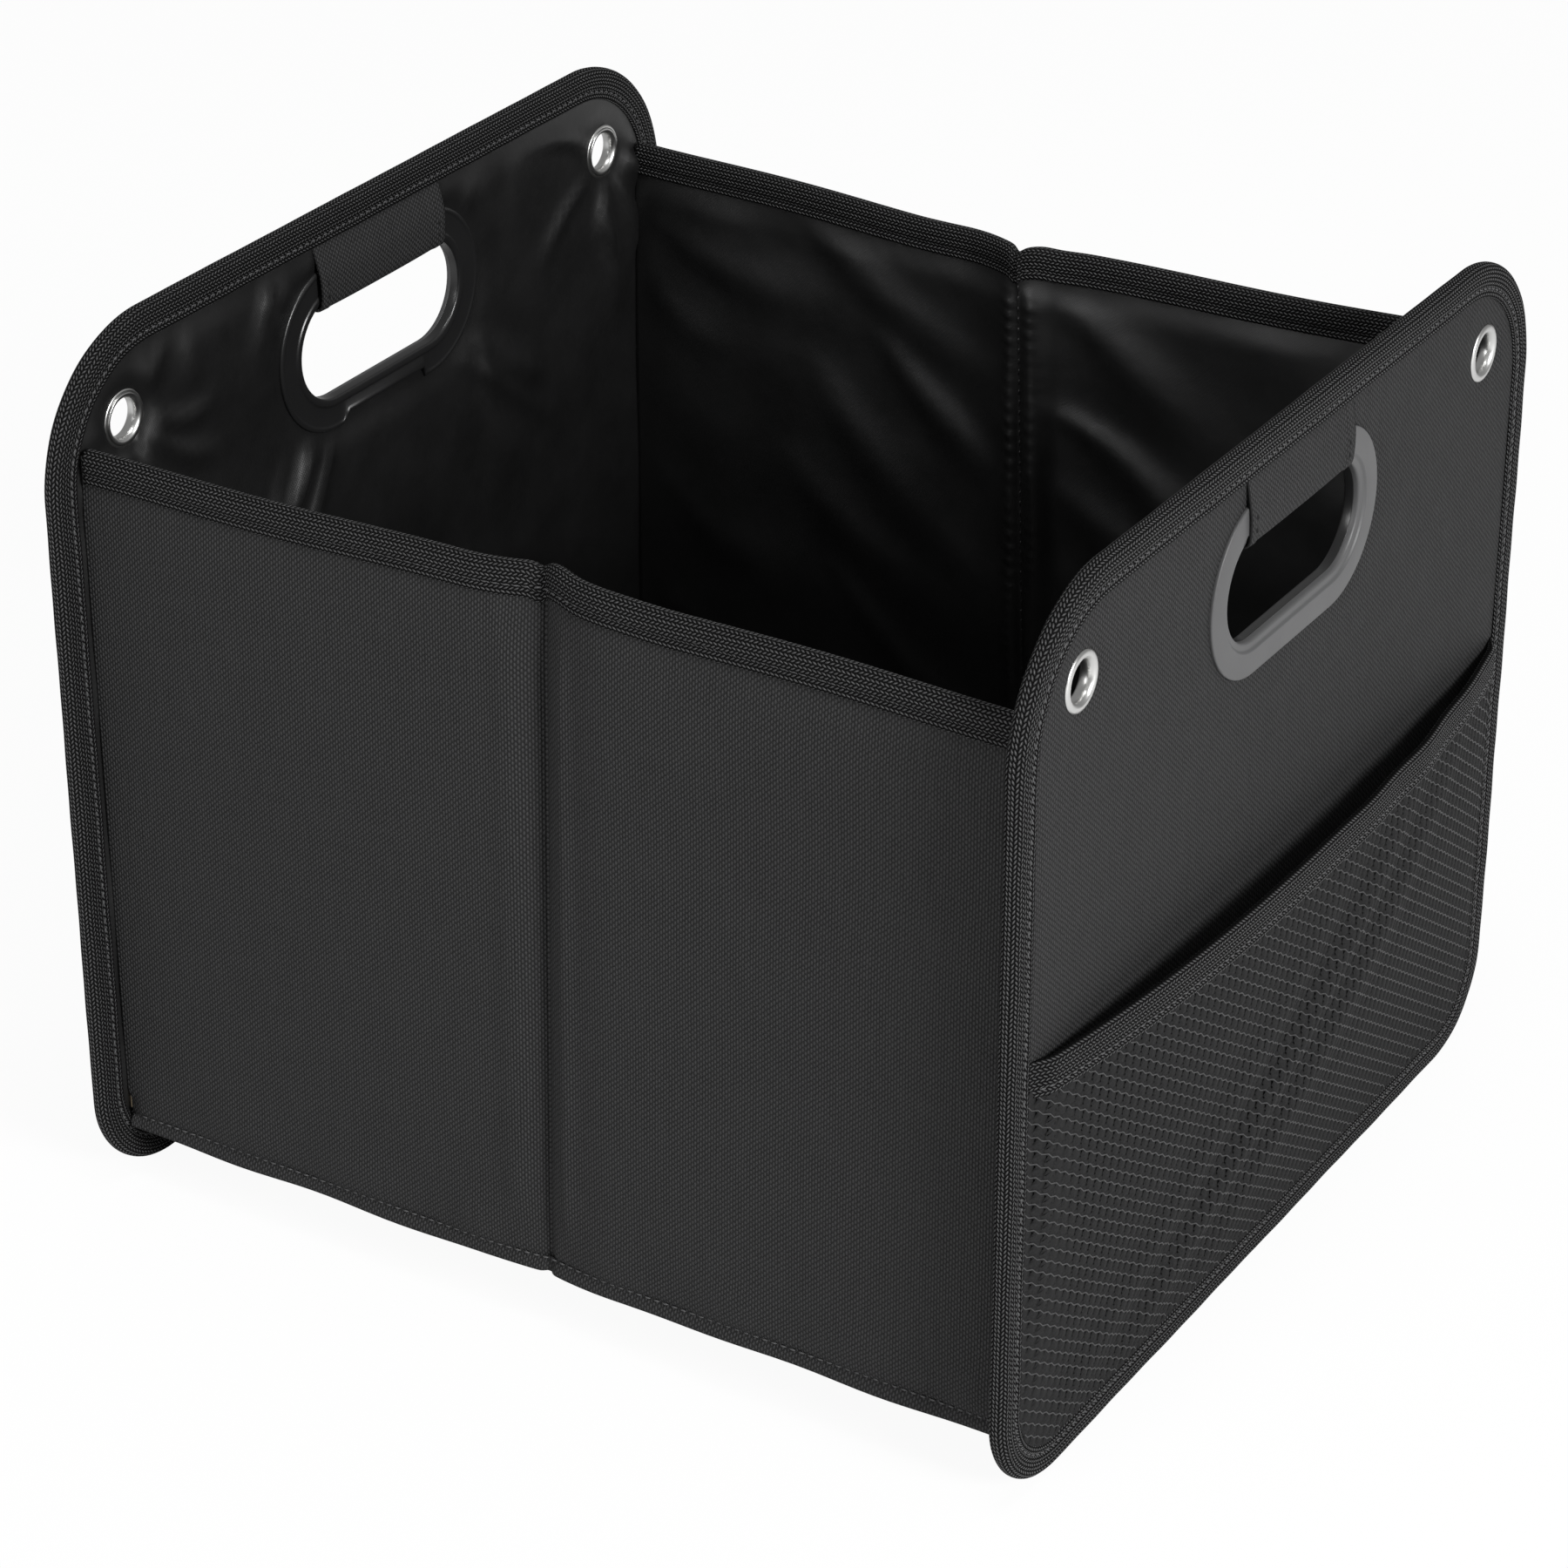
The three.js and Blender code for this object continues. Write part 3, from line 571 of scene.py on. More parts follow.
def panel_sheet(inset, pitch):
    """Points and triangles of an end panel's flat sheet, with its three holes."""
    rim = [(u - inset * a, v - inset * b) for u, v, a, b in edge_stations(pitch)]
    holes = [arc(RING_STRAIGHT, RING_V, BARREL_CUT, -90, 180, 16)
             + arc(-RING_STRAIGHT, RING_V, BARREL_CUT, 90, 180, 16)]
    holes += [arc(sign * EYELET_U, EYELET_V, EYELET_CUT, 0, 360, 24)[:-1] for sign in (1, -1)]
    points, edges = [], []
    for outline in [rim, *holes]:
        first = len(points)
        points += outline
        edges += [(first + k, first + (k + 1) % len(outline)) for k in range(len(outline))]
    v_rows = np.arange(0, PANEL_TOP, pitch * math.sqrt(3) / 2)
    u_row = np.arange(-PANEL_HALF, PANEL_HALF, pitch)
    u = np.concatenate([u_row + (k % 2) * pitch / 2 for k in range(len(v_rows))])
    v = np.repeat(v_rows, len(u_row))
    margin = pitch * 0.55
    inside = (edge_inset(u, v) > inset + margin) & (ring_distance(u, v) > BARREL_CUT + margin)
    inside &= eyelet_distance(u, v) > EYELET_CUT + margin
    points += list(zip(u[inside], v[inside]))
    found = delaunay_2d_cdt([Vector(p) for p in points], edges, [], 0, 1e-7)
    places = np.array([tuple(p) for p in found[0]])
    faces = np.array([tuple(f) for f in found[2]])
    middle = places[faces].mean(axis=1)
    keep = (ring_distance(*middle.T) > BARREL_CUT) & (eyelet_distance(*middle.T) > EYELET_CUT)
    return places, faces[keep]


def panel_cloth(name, side, height, face, pitch, material):
    """One of an end panel's two cloths. height gives how far it rises where nothing pinches it."""
    places, faces = panel_sheet(CLOTH_INSET, pitch)
    u, v = places.T
    free = ramp(edge_inset(u, v) - TAPE_WIDTH, -3, 10)
    free = free * ramp(eyelet_distance(u, v), 8, 17)
    free = free * ramp(ring_distance(u, v) - RING_OUT, -2, 9)
    h = PINCHED + height(u, v) * free
    mesh = mesh_of(name, to_end(side, u, v, FACE[face] * h), faces.tolist(), places)
    facing(mesh, look_of(side, face))
    return thicken(link(mesh, material))


def end_cover(side):
    seed = 3 if side == "right" else 4

    def height(u, v):
        return COVER_FACE - PINCHED + 0.35 * MM + ripple(u, v, seed, 90 * MM, 0.28 * MM)

    return panel_cloth(f"cover_{side}", side, height, "out", 4.2 * MM, POLYESTER)


def end_lining(side):
    """The lining lies loose between its tape and its holes, in soft folds."""
    draw = Draw(21 if side == "right" else 8)
    folds = []
    for sign in (-1, 1):
        for _ in range(9):
            angle = math.radians(draw.uniform(-170, 40))
            start = (sign * EYELET_U, EYELET_V) + 11 * MM * heading(angle)
            folds.append((*start, *(draw.length(18, 60) * heading(angle)), draw.length(2.6, 4.6),
                          draw.length(1.5, 2.7), 4 * MM))
        for _ in range(4):
            start = (sign * (RING_STRAIGHT + draw.length(4, 30)), RING_V - RING_OUT - draw.length(-8, 6))
            folds.append((*start, sign * draw.length(15, 60), -draw.length(20, 60), draw.length(3, 6),
                          draw.length(1.4, 2.6), draw.length(-6, 6)))
    for _ in range(16):
        folds.append((draw.length(-130, 130), PANEL_TOP - TAPE_WIDTH - 2 * MM, draw.length(-14, 14),
                      -draw.length(14, 34), draw.length(2.5, 5), draw.length(0.8, 1.7), 2 * MM))
    for _ in range(8):
        start = (draw.length(-120, 120), draw.length(30, 190))
        way = heading(draw.uniform(-0.5, 0.5)) * draw.length(50, 110)
        folds.append((*start, *way, draw.length(7, 12), draw.length(0.7, 1.6), draw.length(-8, 8)))

    def height(u, v):
        waves = 0.8 * MM + folds_at(u, v, folds) + ripple(u, v, 11, 70 * MM, 0.35 * MM)
        return LINING_FACE - PINCHED + np.maximum(waves, 0)

    return panel_cloth(f"lining_{side}", side, height, "in", 3 * MM, LINING)


def tape_section(slot, face, width, steps=7):
    """A folded tape's outline: a round fold at the edge, a sewn groove and a soft inner lip.
    It gives distances from the edge and heights over the middle."""
    outer = []
    for i in range(steps + 1):
        angle = math.pi / 2 * i / steps
        outer.append((TAPE_ROLL * (1 - math.cos(angle)), face * math.sin(angle) ** 0.85))
    groove = width - STITCH_INSET
    outer += [(5.2 * MM, face), (groove - 1.3 * MM, face * 0.98), (groove - 0.5 * MM, face * 0.88),
              (groove, face * 0.80), (groove + 0.5 * MM, face * 0.88),
              (groove + 1.3 * MM, face * 0.95), (width - 0.4 * MM, face * 0.93), (width, face * 0.80)]
    inner = [(width - 0.1 * MM, slot), (TAPE_ROLL, slot), (1.6 * MM, slot * 0.6), (1.3 * MM, 0.0)]
    upper = outer + inner
    return np.array(upper + [(s, -h) for s, h in upper[-2:0:-1]]).T


def end_binding(side):
    stations = edge_stations(2.2 * MM)
    s, h = tape_section(TAPE_SLOT, TAPE_FACE, TAPE_WIDTH)
    u, v, out_u, out_v = (stations[:, k, None] for k in range(4))
    way = along(stations[:, :2])[:, None]
    swell = 1.02 - 0.02 * wave(way, 23) + 0.03 * wave(way, 71)
    points = to_end(side, u - s * out_u, v - s * out_v, h * swell)
    return solid(f"binding_{side}", points, TAPE, loop=True)


def binding_stitches(side, face):
    stations = edge_stations(2.5 * MM)
    u, v, out_u, out_v = np.concatenate([stations, stations[:1]]).T
    inset = TAPE_WIDTH - STITCH_INSET
    places = to_end(side, u - inset * out_u, v - inset * out_v, FACE[face] * STITCH_FACE)
    return stitches(f"binding_stitches_{face}_{side}", places, look_of(side, face))


# Handle rings, wraps and eyelets

def ring_piece(name, side, section_at, material, arc_steps=30):
    """A moulded ring round the hand hole. section_at gives its section for a share of the bar."""
    places = []
    for way in (1, -1):
        first = -90 * way
        for i in range(arc_steps + 1):
            places.append((way * RING_STRAIGHT, first + 180 * i / arc_steps, 0.0))
        for x, share in ((0.90, 0.0), (0.86, 0.5), (0.82, 1.0), (-0.82, 1.0), (-0.86, 0.5), (-0.90, 0.0)):
            places.append((way * x * RING_STRAIGHT, first + 180, share))
    points = []
    for x, degrees, share in places:
        angle = math.radians(degrees)
        r, h = np.array(section_at(share)).T
        points.append(to_end(side, x + r * math.cos(angle), RING_V + r * math.sin(angle), h))
    return solid(name, np.array(points), material, loop=True)


def rounded(corners, steps=4):
    """A closed outline from corners, each with the millimetres by which it is rounded off."""
    outline = []
    count = len(corners)
    for k in range(count):
        before, here, after = (np.array(corners[(k + d) % count][:2]) for d in (-1, 0, 1))
        a, b = before - here, after - here
        cut = min(corners[k][2] * MM, np.linalg.norm(a) * 0.48, np.linalg.norm(b) * 0.48)
        for i in range(steps + 1):
            t = i / steps
            outline.append(here + unit(a) * cut * (1 - t) ** 2 + unit(b) * cut * t ** 2)
    return outline


def ring_outer(side):
    """The outside half: a broad flange with a ledge round the opening, where it turns inwards."""
    ledge = RING_FACE - 0.8 * MM
    section = rounded([(RING_OPENING, RING_MEETING, 0.1), (RING_WALL, RING_MEETING, 0.1),
                       (RING_WALL, PINCHED, 0.1), (RING_OUT, PINCHED, 0.2),
                       (RING_OUT, RING_FACE - 0.3 * MM, 0.9),
                       (RING_OPENING + 3.3 * MM, RING_FACE, 0.35),
                       (RING_OPENING + 2.5 * MM, ledge, 0.4),
                       (RING_OPENING + 0.2 * MM, ledge - 0.1 * MM, 1)])
    return ring_piece(f"ring_outer_{side}", side, lambda share: section, RING)


def ring_inner(side):
    """The inside half: its straight bars are narrower and stand prouder than its ends. The lip
    round the opening is the same all round."""
    bar_proud = 1.1 * MM
    end_face = -RING_INNER_FACE + bar_proud

    def section(share):
        edge = RING_OUT - 4 * MM * share
        top = end_face - bar_proud * share
        return rounded([(RING_WALL, RING_MEETING, 0.1), (RING_OPENING, RING_MEETING, 0.1),
                        (RING_OPENING + 0.1 * MM, end_face + 0.3 * MM, 1),
                        (RING_OPENING + 1.6 * MM, end_face, 0.6),
                        (RING_OPENING + 2.6 * MM, end_face, 0.3),
                        (RING_OPENING + 3.2 * MM, end_face + 0.55 * MM, 0.3),
                        (edge - 2 * MM, top + 0.45 * MM, 0.4),
                        (edge - 1.2 * MM, top + 0.1 * MM, 0.4), (edge, top + 0.5 * MM, 0.7),
                        (edge, -PINCHED, 0.1), (RING_WALL, -PINCHED, 0.1)], 3)

    return ring_piece(f"ring_inner_{side}", side, section, SHADED_GLOSS_RING)


def wrap_route():
    """The wrap's way from under the binding outside, round the ring's bar and back up inside."""
    tuck = PANEL_TOP - TAPE_WIDTH + 1.5 * MM
    flange = RING_V + RING_OUT

    def down(face):
        return [(TAPE_SLOT - 0.2 * MM, tuck), (TAPE_FACE - 0.2 * MM, tuck - 2 * MM),
                (face - 0.5 * MM, flange - 0.5 * MM), (face, flange - 4 * MM),
                (face, WRAP_LOW + 4.5 * MM), (face - 0.6 * MM, WRAP_LOW + 1.2 * MM),
                (face - 2.6 * MM, WRAP_LOW)]

    up = [(-h, v) for h, v in reversed(down(RING_INNER_FACE + WRAP_PROUD))]
    route = np.array(down(RING_FACE + WRAP_PROUD) + [(0, WRAP_LOW + 0.1 * MM)] + up)
    for _ in range(3):
        a, b = route[:-1], route[1:]
        softer = np.stack([a * 0.75 + b * 0.25, a * 0.25 + b * 0.75], 1).reshape(-1, 2)
        route = np.concatenate([route[:1], softer, route[-1:]])
    return route


def handle_wrap(side):
    """The strip of cover cloth round the ring's upper bar, with a folded hem down each edge."""
    h, v = wrap_route().T[:, :, None]
    t = np.linspace(-1, 1, 36)
    low = ramp(RING_V + RING_OUT - v, -6, 12)
    v = v + 0.5 * MM * low * np.abs(t) ** 3
    u = WRAP_HALF * t * (1 - 0.02 * low)
    hem = 0.45 * MM * ramp(WRAP_HALF * (np.abs(t) - 1), -5.6, -4.2)
    h = h + np.sign(h) * (hem - 0.45 * MM)
    mesh = grid_mesh(f"wrap_{side}", to_end(side, u, v, h))
    facing(mesh, (0, 0, -1))
    return thicken(link(mesh, STRAP), 0.9 * MM)


def wrap_stitches(side):
    """Rows of stitches down both edges of the wrap, on both of its faces."""
    rows = []
    v = np.linspace(WRAP_LOW + 4 * MM, RING_V + RING_OUT - 3 * MM, 8)
    for face, reach in (("out", RING_FACE), ("in", RING_INNER_FACE)):
        for edge, sign in (("a", 1), ("b", -1)):
            places = to_end(side, sign * (WRAP_HALF - 4 * MM), v,
                            FACE[face] * (reach + WRAP_PROUD - 0.1 * MM))
            rows.append(stitches(f"wrap_stitches_{face}_{edge}_{side}", places, look_of(side, face),
                                 material=KNIT))
    return rows


def lathe(name, side, sign, profile, steps=64):
    """A round metal piece about an eyelet's axis."""
    r, h = np.array(profile).T
    angles = np.linspace(0, 2 * math.pi, steps, endpoint=False)[:, None]
    points = to_end(side, sign * EYELET_U + r * np.cos(angles), EYELET_V + r * np.sin(angles), h)
    return solid(name, points, STEEL, loop=True)


def eyelets(side):
    """Each eyelet is a rounded ring of metal, rolled over a washer on the lining's side."""
    throat, middle, rim = 6.2 * MM, 8.0 * MM, 9.5 * MM
    rise, washer_in, washer_top = 2.7 * MM, 7.9 * MM, -2.3 * MM
    for sign in (1, -1):
        end = "back" if sign == TURN[side] else "front"
        lip = [(middle - (middle - throat) * math.cos(a), rise * math.sin(a))
               for a in np.radians(range(-110, 91, 20))]
        outside = [(8.9 * MM, 2.45 * MM), (rim, PINCHED + 0.25 * MM), (rim, PINCHED), (8.4 * MM, PINCHED),
                   (6.9 * MM, 0.8 * MM), (6.75 * MM, 0.0), (6.9 * MM, -1.5 * MM), (washer_in, -2.2 * MM)]
        grommet = lathe(f"grommet_{end}_{side}", side, sign, lip + outside)
        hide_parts(f"eyelet_{end}_{side}")
        corners = [(washer_in, -PINCHED), (rim, -PINCHED), (rim, -PINCHED - 0.25 * MM),
                   (9.1 * MM, washer_top), (washer_in, washer_top)]
        section = rounded([(*corner, 0.25) for corner in corners], 3)
        washer = lathe(f"washer_{end}_{side}", side, sign, section)
        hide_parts(f"eyelet_washer_{end}_{side}")


# Mesh pocket

def pocket_foot(u):
    past = np.maximum(np.abs(u) - (PANEL_HALF - BOTTOM_RADIUS), 0)
    inner = BOTTOM_RADIUS - TAPE_WIDTH + 1 * MM
    return BOTTOM_RADIUS - np.sqrt(np.maximum(inner ** 2 - past ** 2, 0))


def pocket_stand(u, v):
    """How far the knit stands off the panel's middle. It hangs out at the hem, in soft waves, and
    is held flat near the binding."""
    half = POCKET_HALF + 1 * MM
    share = np.clip((v - pocket_foot(u)) / (POCKET_TOP - HEM_HEIGHT - pocket_foot(u)), 0, 1)
    across = np.maximum(1 - np.abs(u / half) ** 2.4, 0)
    rise = np.sin(share * math.pi / 2)
    aside = 0.61 * (u - 27 * MM) - 0.79 * (v - 103 * MM)
    window = hump(aside, 0, 34) * np.sin(math.pi * np.clip(share, 0.03, 0.97)) ** 0.6
    waves = 1.8 * MM * window * wave(aside, 29, math.pi / 2)
    free = COVER_FACE + (1.6 * MM + (POCKET_BULGE - 2 * MM) * across) * rise + waves
    held = TAPE_SLOT + 0.3 * MM
    return held + (free - held) * ramp(edge_inset(u, v) - TAPE_WIDTH, -2, 9)


def yarns(side, u, v, lift, half_width, half_height, sides):
    """Flattened yarns on the pocket's surface, one for each row of places."""
    def surface(u, v):
        return to_end(side, u, v, pocket_stand(u, v))

    e = 0.5 * MM
    normal = unit(np.cross(surface(u + e, v) - surface(u - e, v), surface(u, v + e) - surface(u, v - e)))
    centre = to_end(side, u, v, pocket_stand(u, v) + lift)
    across = unit(np.cross(np.gradient(centre, axis=1), normal))
    rings = []
    for k in range(sides):
        angle = 2 * math.pi * (k + 0.5) / sides
        offset = across * (half_width * math.cos(angle)) + normal * (half_height * math.sin(angle))
        rings.append(centre + offset)
    return np.stack(rings, 2)


def yarn_piece(name, bundles, material):
    """One piece of many yarns, each closed at its ends."""
    points, faces, first = [], [], 0
    for bundle in bundles:
        count, steps, sides = bundle.shape[:3]
        base = first + np.arange(count)[:, None, None] * steps * sides
        i = np.arange(steps - 1)[None, :, None] * sides
        k = np.arange(sides)[None, None, :]
        after = (k + 1) % sides
        quads = np.stack([base + i + k, base + i + after, base + i + sides + after,
                          base + i + sides + k], -1)
        faces += quads.reshape(-1, 4).tolist()
        for end in (0, (steps - 1) * sides):
            faces += (base.reshape(-1, 1) + end + np.arange(sides)[None, :]).tolist()
        points.append(bundle.reshape(-1, 3))
        first += count * steps * sides
    points = np.concatenate(points)
    mesh = mesh_of(name, points, faces, np.zeros((len(points), 2)))
    face_out(mesh)
    return link(mesh, material)


def mesh_pocket(side):
    """The knit: bowed ribs between rows of small stitches, which run down across the pocket. The
    ribs are broader where the knit turns steeply in to the binding."""
    top = POCKET_TOP - HEM_HEIGHT + 2 * MM
    columns = int(2 * POCKET_HALF / CELL_WIDE) + 2
    places = (np.arange(columns) - (columns - 1) / 2) * CELL_WIDE
    feet = pocket_foot(places)
    steep = ramp(np.abs(places), 134, 150)[:, None, None]
    bow = np.array([-1.1, 0.3, 0.7, -0.3]) * MM
    share = np.linspace(0, 1, len(bow))
    ribs, seams = [], []
    for k in range(-int(columns * CELL_DROP / CELL_HIGH) - 1, int(top / CELL_HIGH) + 1):
        level = top - k * CELL_HIGH - CELL_DROP * np.arange(columns)
        held = (level > feet + 1 * MM) & (level - CELL_HIGH < top)
        if held.sum() < 2:
            continue
        high = np.minimum(level[held], top)
        low = np.maximum(level[held] - CELL_HIGH, feet[held])
        u = places[held, None] + bow
        v = low[:, None] + (high - low)[:, None] * share
        ribs.append(yarns(side, u, v, 0.0, 2.35 * MM + 0.55 * MM * steep[held], 0.3 * MM, 6))
        seen = held & (level < top)
        if seen.sum() > 2:
            u = places[seen, None] + CELL_WIDE * np.array([-0.2, 0.2])
            v = level[seen, None] + MM * np.array([0.6, -1.3])
            seams.append(yarns(side, u.reshape(1, -1), v.reshape(1, -1), 0.25 * MM, 0.23 * MM,
                               0.24 * MM, 5))
    return yarn_piece(f"knit_{side}", ribs, KNIT), yarn_piece(f"knit_rows_{side}", seams, ROW)


def pocket_hem(side):
    """The woven tape folded over the knit's upper edge. Its ends lie flat under the binding."""
    half = POCKET_HALF + 2.4 * MM
    u = np.linspace(-half, half, 160)[:, None]
    s, h = tape_section(0.7 * MM, 1.65 * MM, HEM_HEIGHT, 5)
    full = ramp(half - np.abs(u), 1, 9)
    stand = pocket_stand(u, POCKET_TOP - HEM_HEIGHT) - 0.6 * MM * (1 - full)
    points = to_end(side, u, POCKET_TOP - s, stand + h * (0.2 + 0.8 * full))
    return solid(f"hem_{side}", points, HEM)


def hem_stitches(side):
    u = np.linspace(-POCKET_HALF + 2 * MM, POCKET_HALF - 2 * MM, 150)
    h = pocket_stand(u, POCKET_TOP - HEM_HEIGHT) + 1.45 * MM
    places = to_end(side, u, POCKET_TOP - HEM_HEIGHT + STITCH_INSET, h)
    return stitches(f"hem_stitches_{side}", places, look_of(side, "out"))


# Side walls

def wall_depth(x, z, wall):
    """How far a wall's middle lies into the box: a valley at the crease, and the wall's lean."""
    share = np.clip((z - WALL_SEAM) / (WALL_TOP - WALL_SEAM), 0, 1)
    valley = np.clip(1 - np.abs(x) / CREASE_HALF, 0, 1) ** 2
    dip = CREASE_DIP * (CREASE_FLOOR_SHARE + (1 - CREASE_FLOOR_SHARE) * share)
    return dip * valley + LEAN[wall] * share * (1 - np.abs(x) / WALL_END)


def across_wall(step, end=WALL_END):
    """Places across a wall or the floor, closer together beside the crease."""
    half = np.concatenate([CREASE_HALF * np.linspace(0, 1, 25)[:-1] ** 1.7,
                           np.arange(CREASE_HALF, end, step), [end]])
    return np.concatenate([-half[:0:-1], half])


def levels(low, high, step):
    return np.linspace(low, high, int((high - low) / step))


def wall_cover(wall):
    """The woven cover, pinched into a lip under the seam at its foot."""
    fine_top = WALL_SEAM + 6 * MM
    heights = np.concatenate([np.arange(LIP_LOW, fine_top, 0.9 * MM),
                              levels(fine_top, WALL_CLOTH_TOP, 3.2 * MM)])
    x, z = np.meshgrid(across_wall(5 * MM), heights, indexing="ij")
    to_right = TURN[wall] * x
    under_tape = WALL_TOP - TAPE_WIDTH - z
    seed = 5 if wall == "front" else 6
    inside = ramp(WALL_END - np.abs(x), 0, 22)
    inside = inside * ramp(z - WALL_SEAM, 0, 30)
    inside = inside * ramp(under_tape, 0, 25)
    off_crease = ramp(np.abs(x), 2, 30)
    puff = 0.5 * MM + ripple(x, z, seed, 110 * MM, 0.35 * MM)
    sagging = 1.3 * MM * hump(z - WALL_SEAM, 9, 9) * (0.5 + 0.5 * wave(x, 47, seed))
    sagging = sagging * ramp(WALL_END - np.abs(x), 0, 12)
    lip = np.clip((WALL_SEAM - z) / (WALL_SEAM - LIP_LOW), 0, 1)
    flare = lip * (0.9 * MM + 0.4 * MM * wave(x, 61, 1.1))
    sewn = -0.8 * MM * hump(z - WALL_SEAM, 0, 1.1) - 1.5 * MM * hump(x, 0, 1.6)
    ridges = 1.8 * MM * hump(to_right, -10, 6) + 1.4 * MM * hump(to_right, 7.5, 3.4)
    out = PINCHED + (COVER_FACE - PINCHED) * ramp(under_tape, -3, 12) + flare + sewn + ridges * inside
    out = out + inside * off_crease * np.maximum(puff, 0) + sagging * off_crease
    reach = 1 - 0.1 * lip * (0.5 + 0.5 * wave(x, 83, 0.6 + math.pi / 2))
    z = np.where(z < WALL_SEAM, WALL_SEAM - (WALL_SEAM - z) * reach, z)
    corner = (z < BOTTOM_RADIUS) & (np.abs(x) > WALL_TAPE_END)
    x = np.where(corner, np.sign(x) * WALL_TAPE_END, x)
    mesh = grid_mesh(f"cover_{wall}", to_wall(wall, x, z, wall_depth(x, z, wall) - out))
    facing(mesh, look_of(wall, "out"))
    return thicken(link(mesh, POLYESTER))


def wall_lining(wall):
    """The lining: sewn at the crease with small puckers, and drawn into folds beside it."""
    x, z = np.meshgrid(across_wall(4.2 * MM), levels(WALL_SEAM, WALL_CLOTH_TOP, 1.4 * MM), indexing="ij")
    draw = Draw(31 if wall == "back" else 17)
    folds = []
    for k in range(7):
        level = WALL_TOP - (24 + 33 * k) * MM - draw.length(-8, 8)
        reach = draw.length(50, 105)
        fall = reach * draw.uniform(0.65, 1.05)
        size = draw.length(5, 11), draw.length(1.8, 3.8)
        near = draw.length(5, 12)
        folds.append((-near, level, -reach, -fall, *size, draw.length(-8, 3)))
        reach = draw.length(45, 110)
        fall = reach * draw.uniform(0.5, 0.95)
        folds.append((near + reach, level + 0.25 * fall, -reach, -fall, *size, draw.length(-3, 8)))
    for sign in (-1, 1):
        for _ in range(4):
            start = (sign * (WALL_END - draw.length(5, 20)), draw.length(90, 240))
            folds.append((*start, -sign * draw.length(30, 80), -draw.length(5, 40), draw.length(6, 10),
                          draw.length(0.8, 1.8), 5 * MM))
    to_right = TURN[wall] * x
    under_tape = WALL_TOP - TAPE_WIDTH - z
    rest = ramp(WALL_END - np.abs(x), 0, 14)
    rest = rest * ramp(z - WALL_SEAM, 4, 25)
    rest = rest * ramp(under_tape, -1, 12)
    waves = 0.7 * MM + folds_at(x, z, folds) + ripple(x, z, 13, 60 * MM, 0.45 * MM)
    sewn = hump(x, 0, 1.6)
    pleats = wave(z, 5.2, 2.0 * np.sin(z / (19 * MM)) + (to_right > 0))
    pleats = pleats * (1 + 0.5 * np.sin(z / (7.3 * MM))) * np.where(to_right > 0, 0.14 * MM, 0.26 * MM)
    puckers = hump(np.abs(x), 4.4, 2.7) * (1.5 * MM + pleats)
    puckers = puckers + hump(to_right, 7.5, 3.4) * (2.6 * MM + 0.9 * MM * np.sin(z / (23 * MM)))
    off = PINCHED + (LINING_FACE + 0.2 * MM - PINCHED - 0.6 * MM * sewn) * ramp(under_tape, -3, 10)
    off = off + rest * ((1 - sewn) * np.maximum(waves, 0.1 * MM) + puckers)
    mesh = grid_mesh(f"lining_{wall}", to_wall(wall, x, z, wall_depth(x, z, wall) + off))
    facing(mesh, look_of(wall, "in"))
    return thicken(link(mesh, LINING))


def wall_binding(wall):
    """The tape over a wall's top. It is flattened and dips where the wall folds."""
    x = across_wall(3 * MM, WALL_TAPE_END)[:, None]
    s, h = tape_section(TAPE_SLOT, TAPE_FACE, TAPE_WIDTH)
    to_right = TURN[wall] * x
    dip = 1.6 * MM * hump(to_right, -1.5, 2.2) - 0.9 * MM * hump(to_right, 6, 5)
    dip = dip + 0.5 * MM * (1 + wave(x, 130)) * ramp(np.abs(x), 10, 50)
    z = WALL_TOP - 0.9 * MM - s - dip
    pinch = 1 - 0.3 * hump(to_right, 0.5, 2.6)
    depth = wall_depth(x, WALL_TOP, wall) + h * pinch
    return solid(f"binding_{wall}", to_wall(wall, x, z, depth), TAPE)


def wall_stitches(wall, name, z, face, stand):
    """A level row of stitches on one face of a wall."""
    x = np.linspace(-WALL_TAPE_END + 3 * MM, WALL_TAPE_END - 3 * MM, 240)
    depth = wall_depth(x, z, wall) - FACE[face] * stand
    return stitches(f"{name}_{wall}", to_wall(wall, x, z, depth), look_of(wall, face))


def crease_stitches(wall):
    z = np.linspace(WALL_SEAM + 8 * MM, WALL_TOP - TAPE_WIDTH - 2 * MM, 90)
    depth = wall_depth(0, z, wall) + LINING_FACE - 0.3 * MM
    return stitches(f"crease_stitches_{wall}", to_wall(wall, 0, z, depth), look_of(wall, "in"),
                    2.8 * MM, 0.24 * MM, LINING)


# Floor

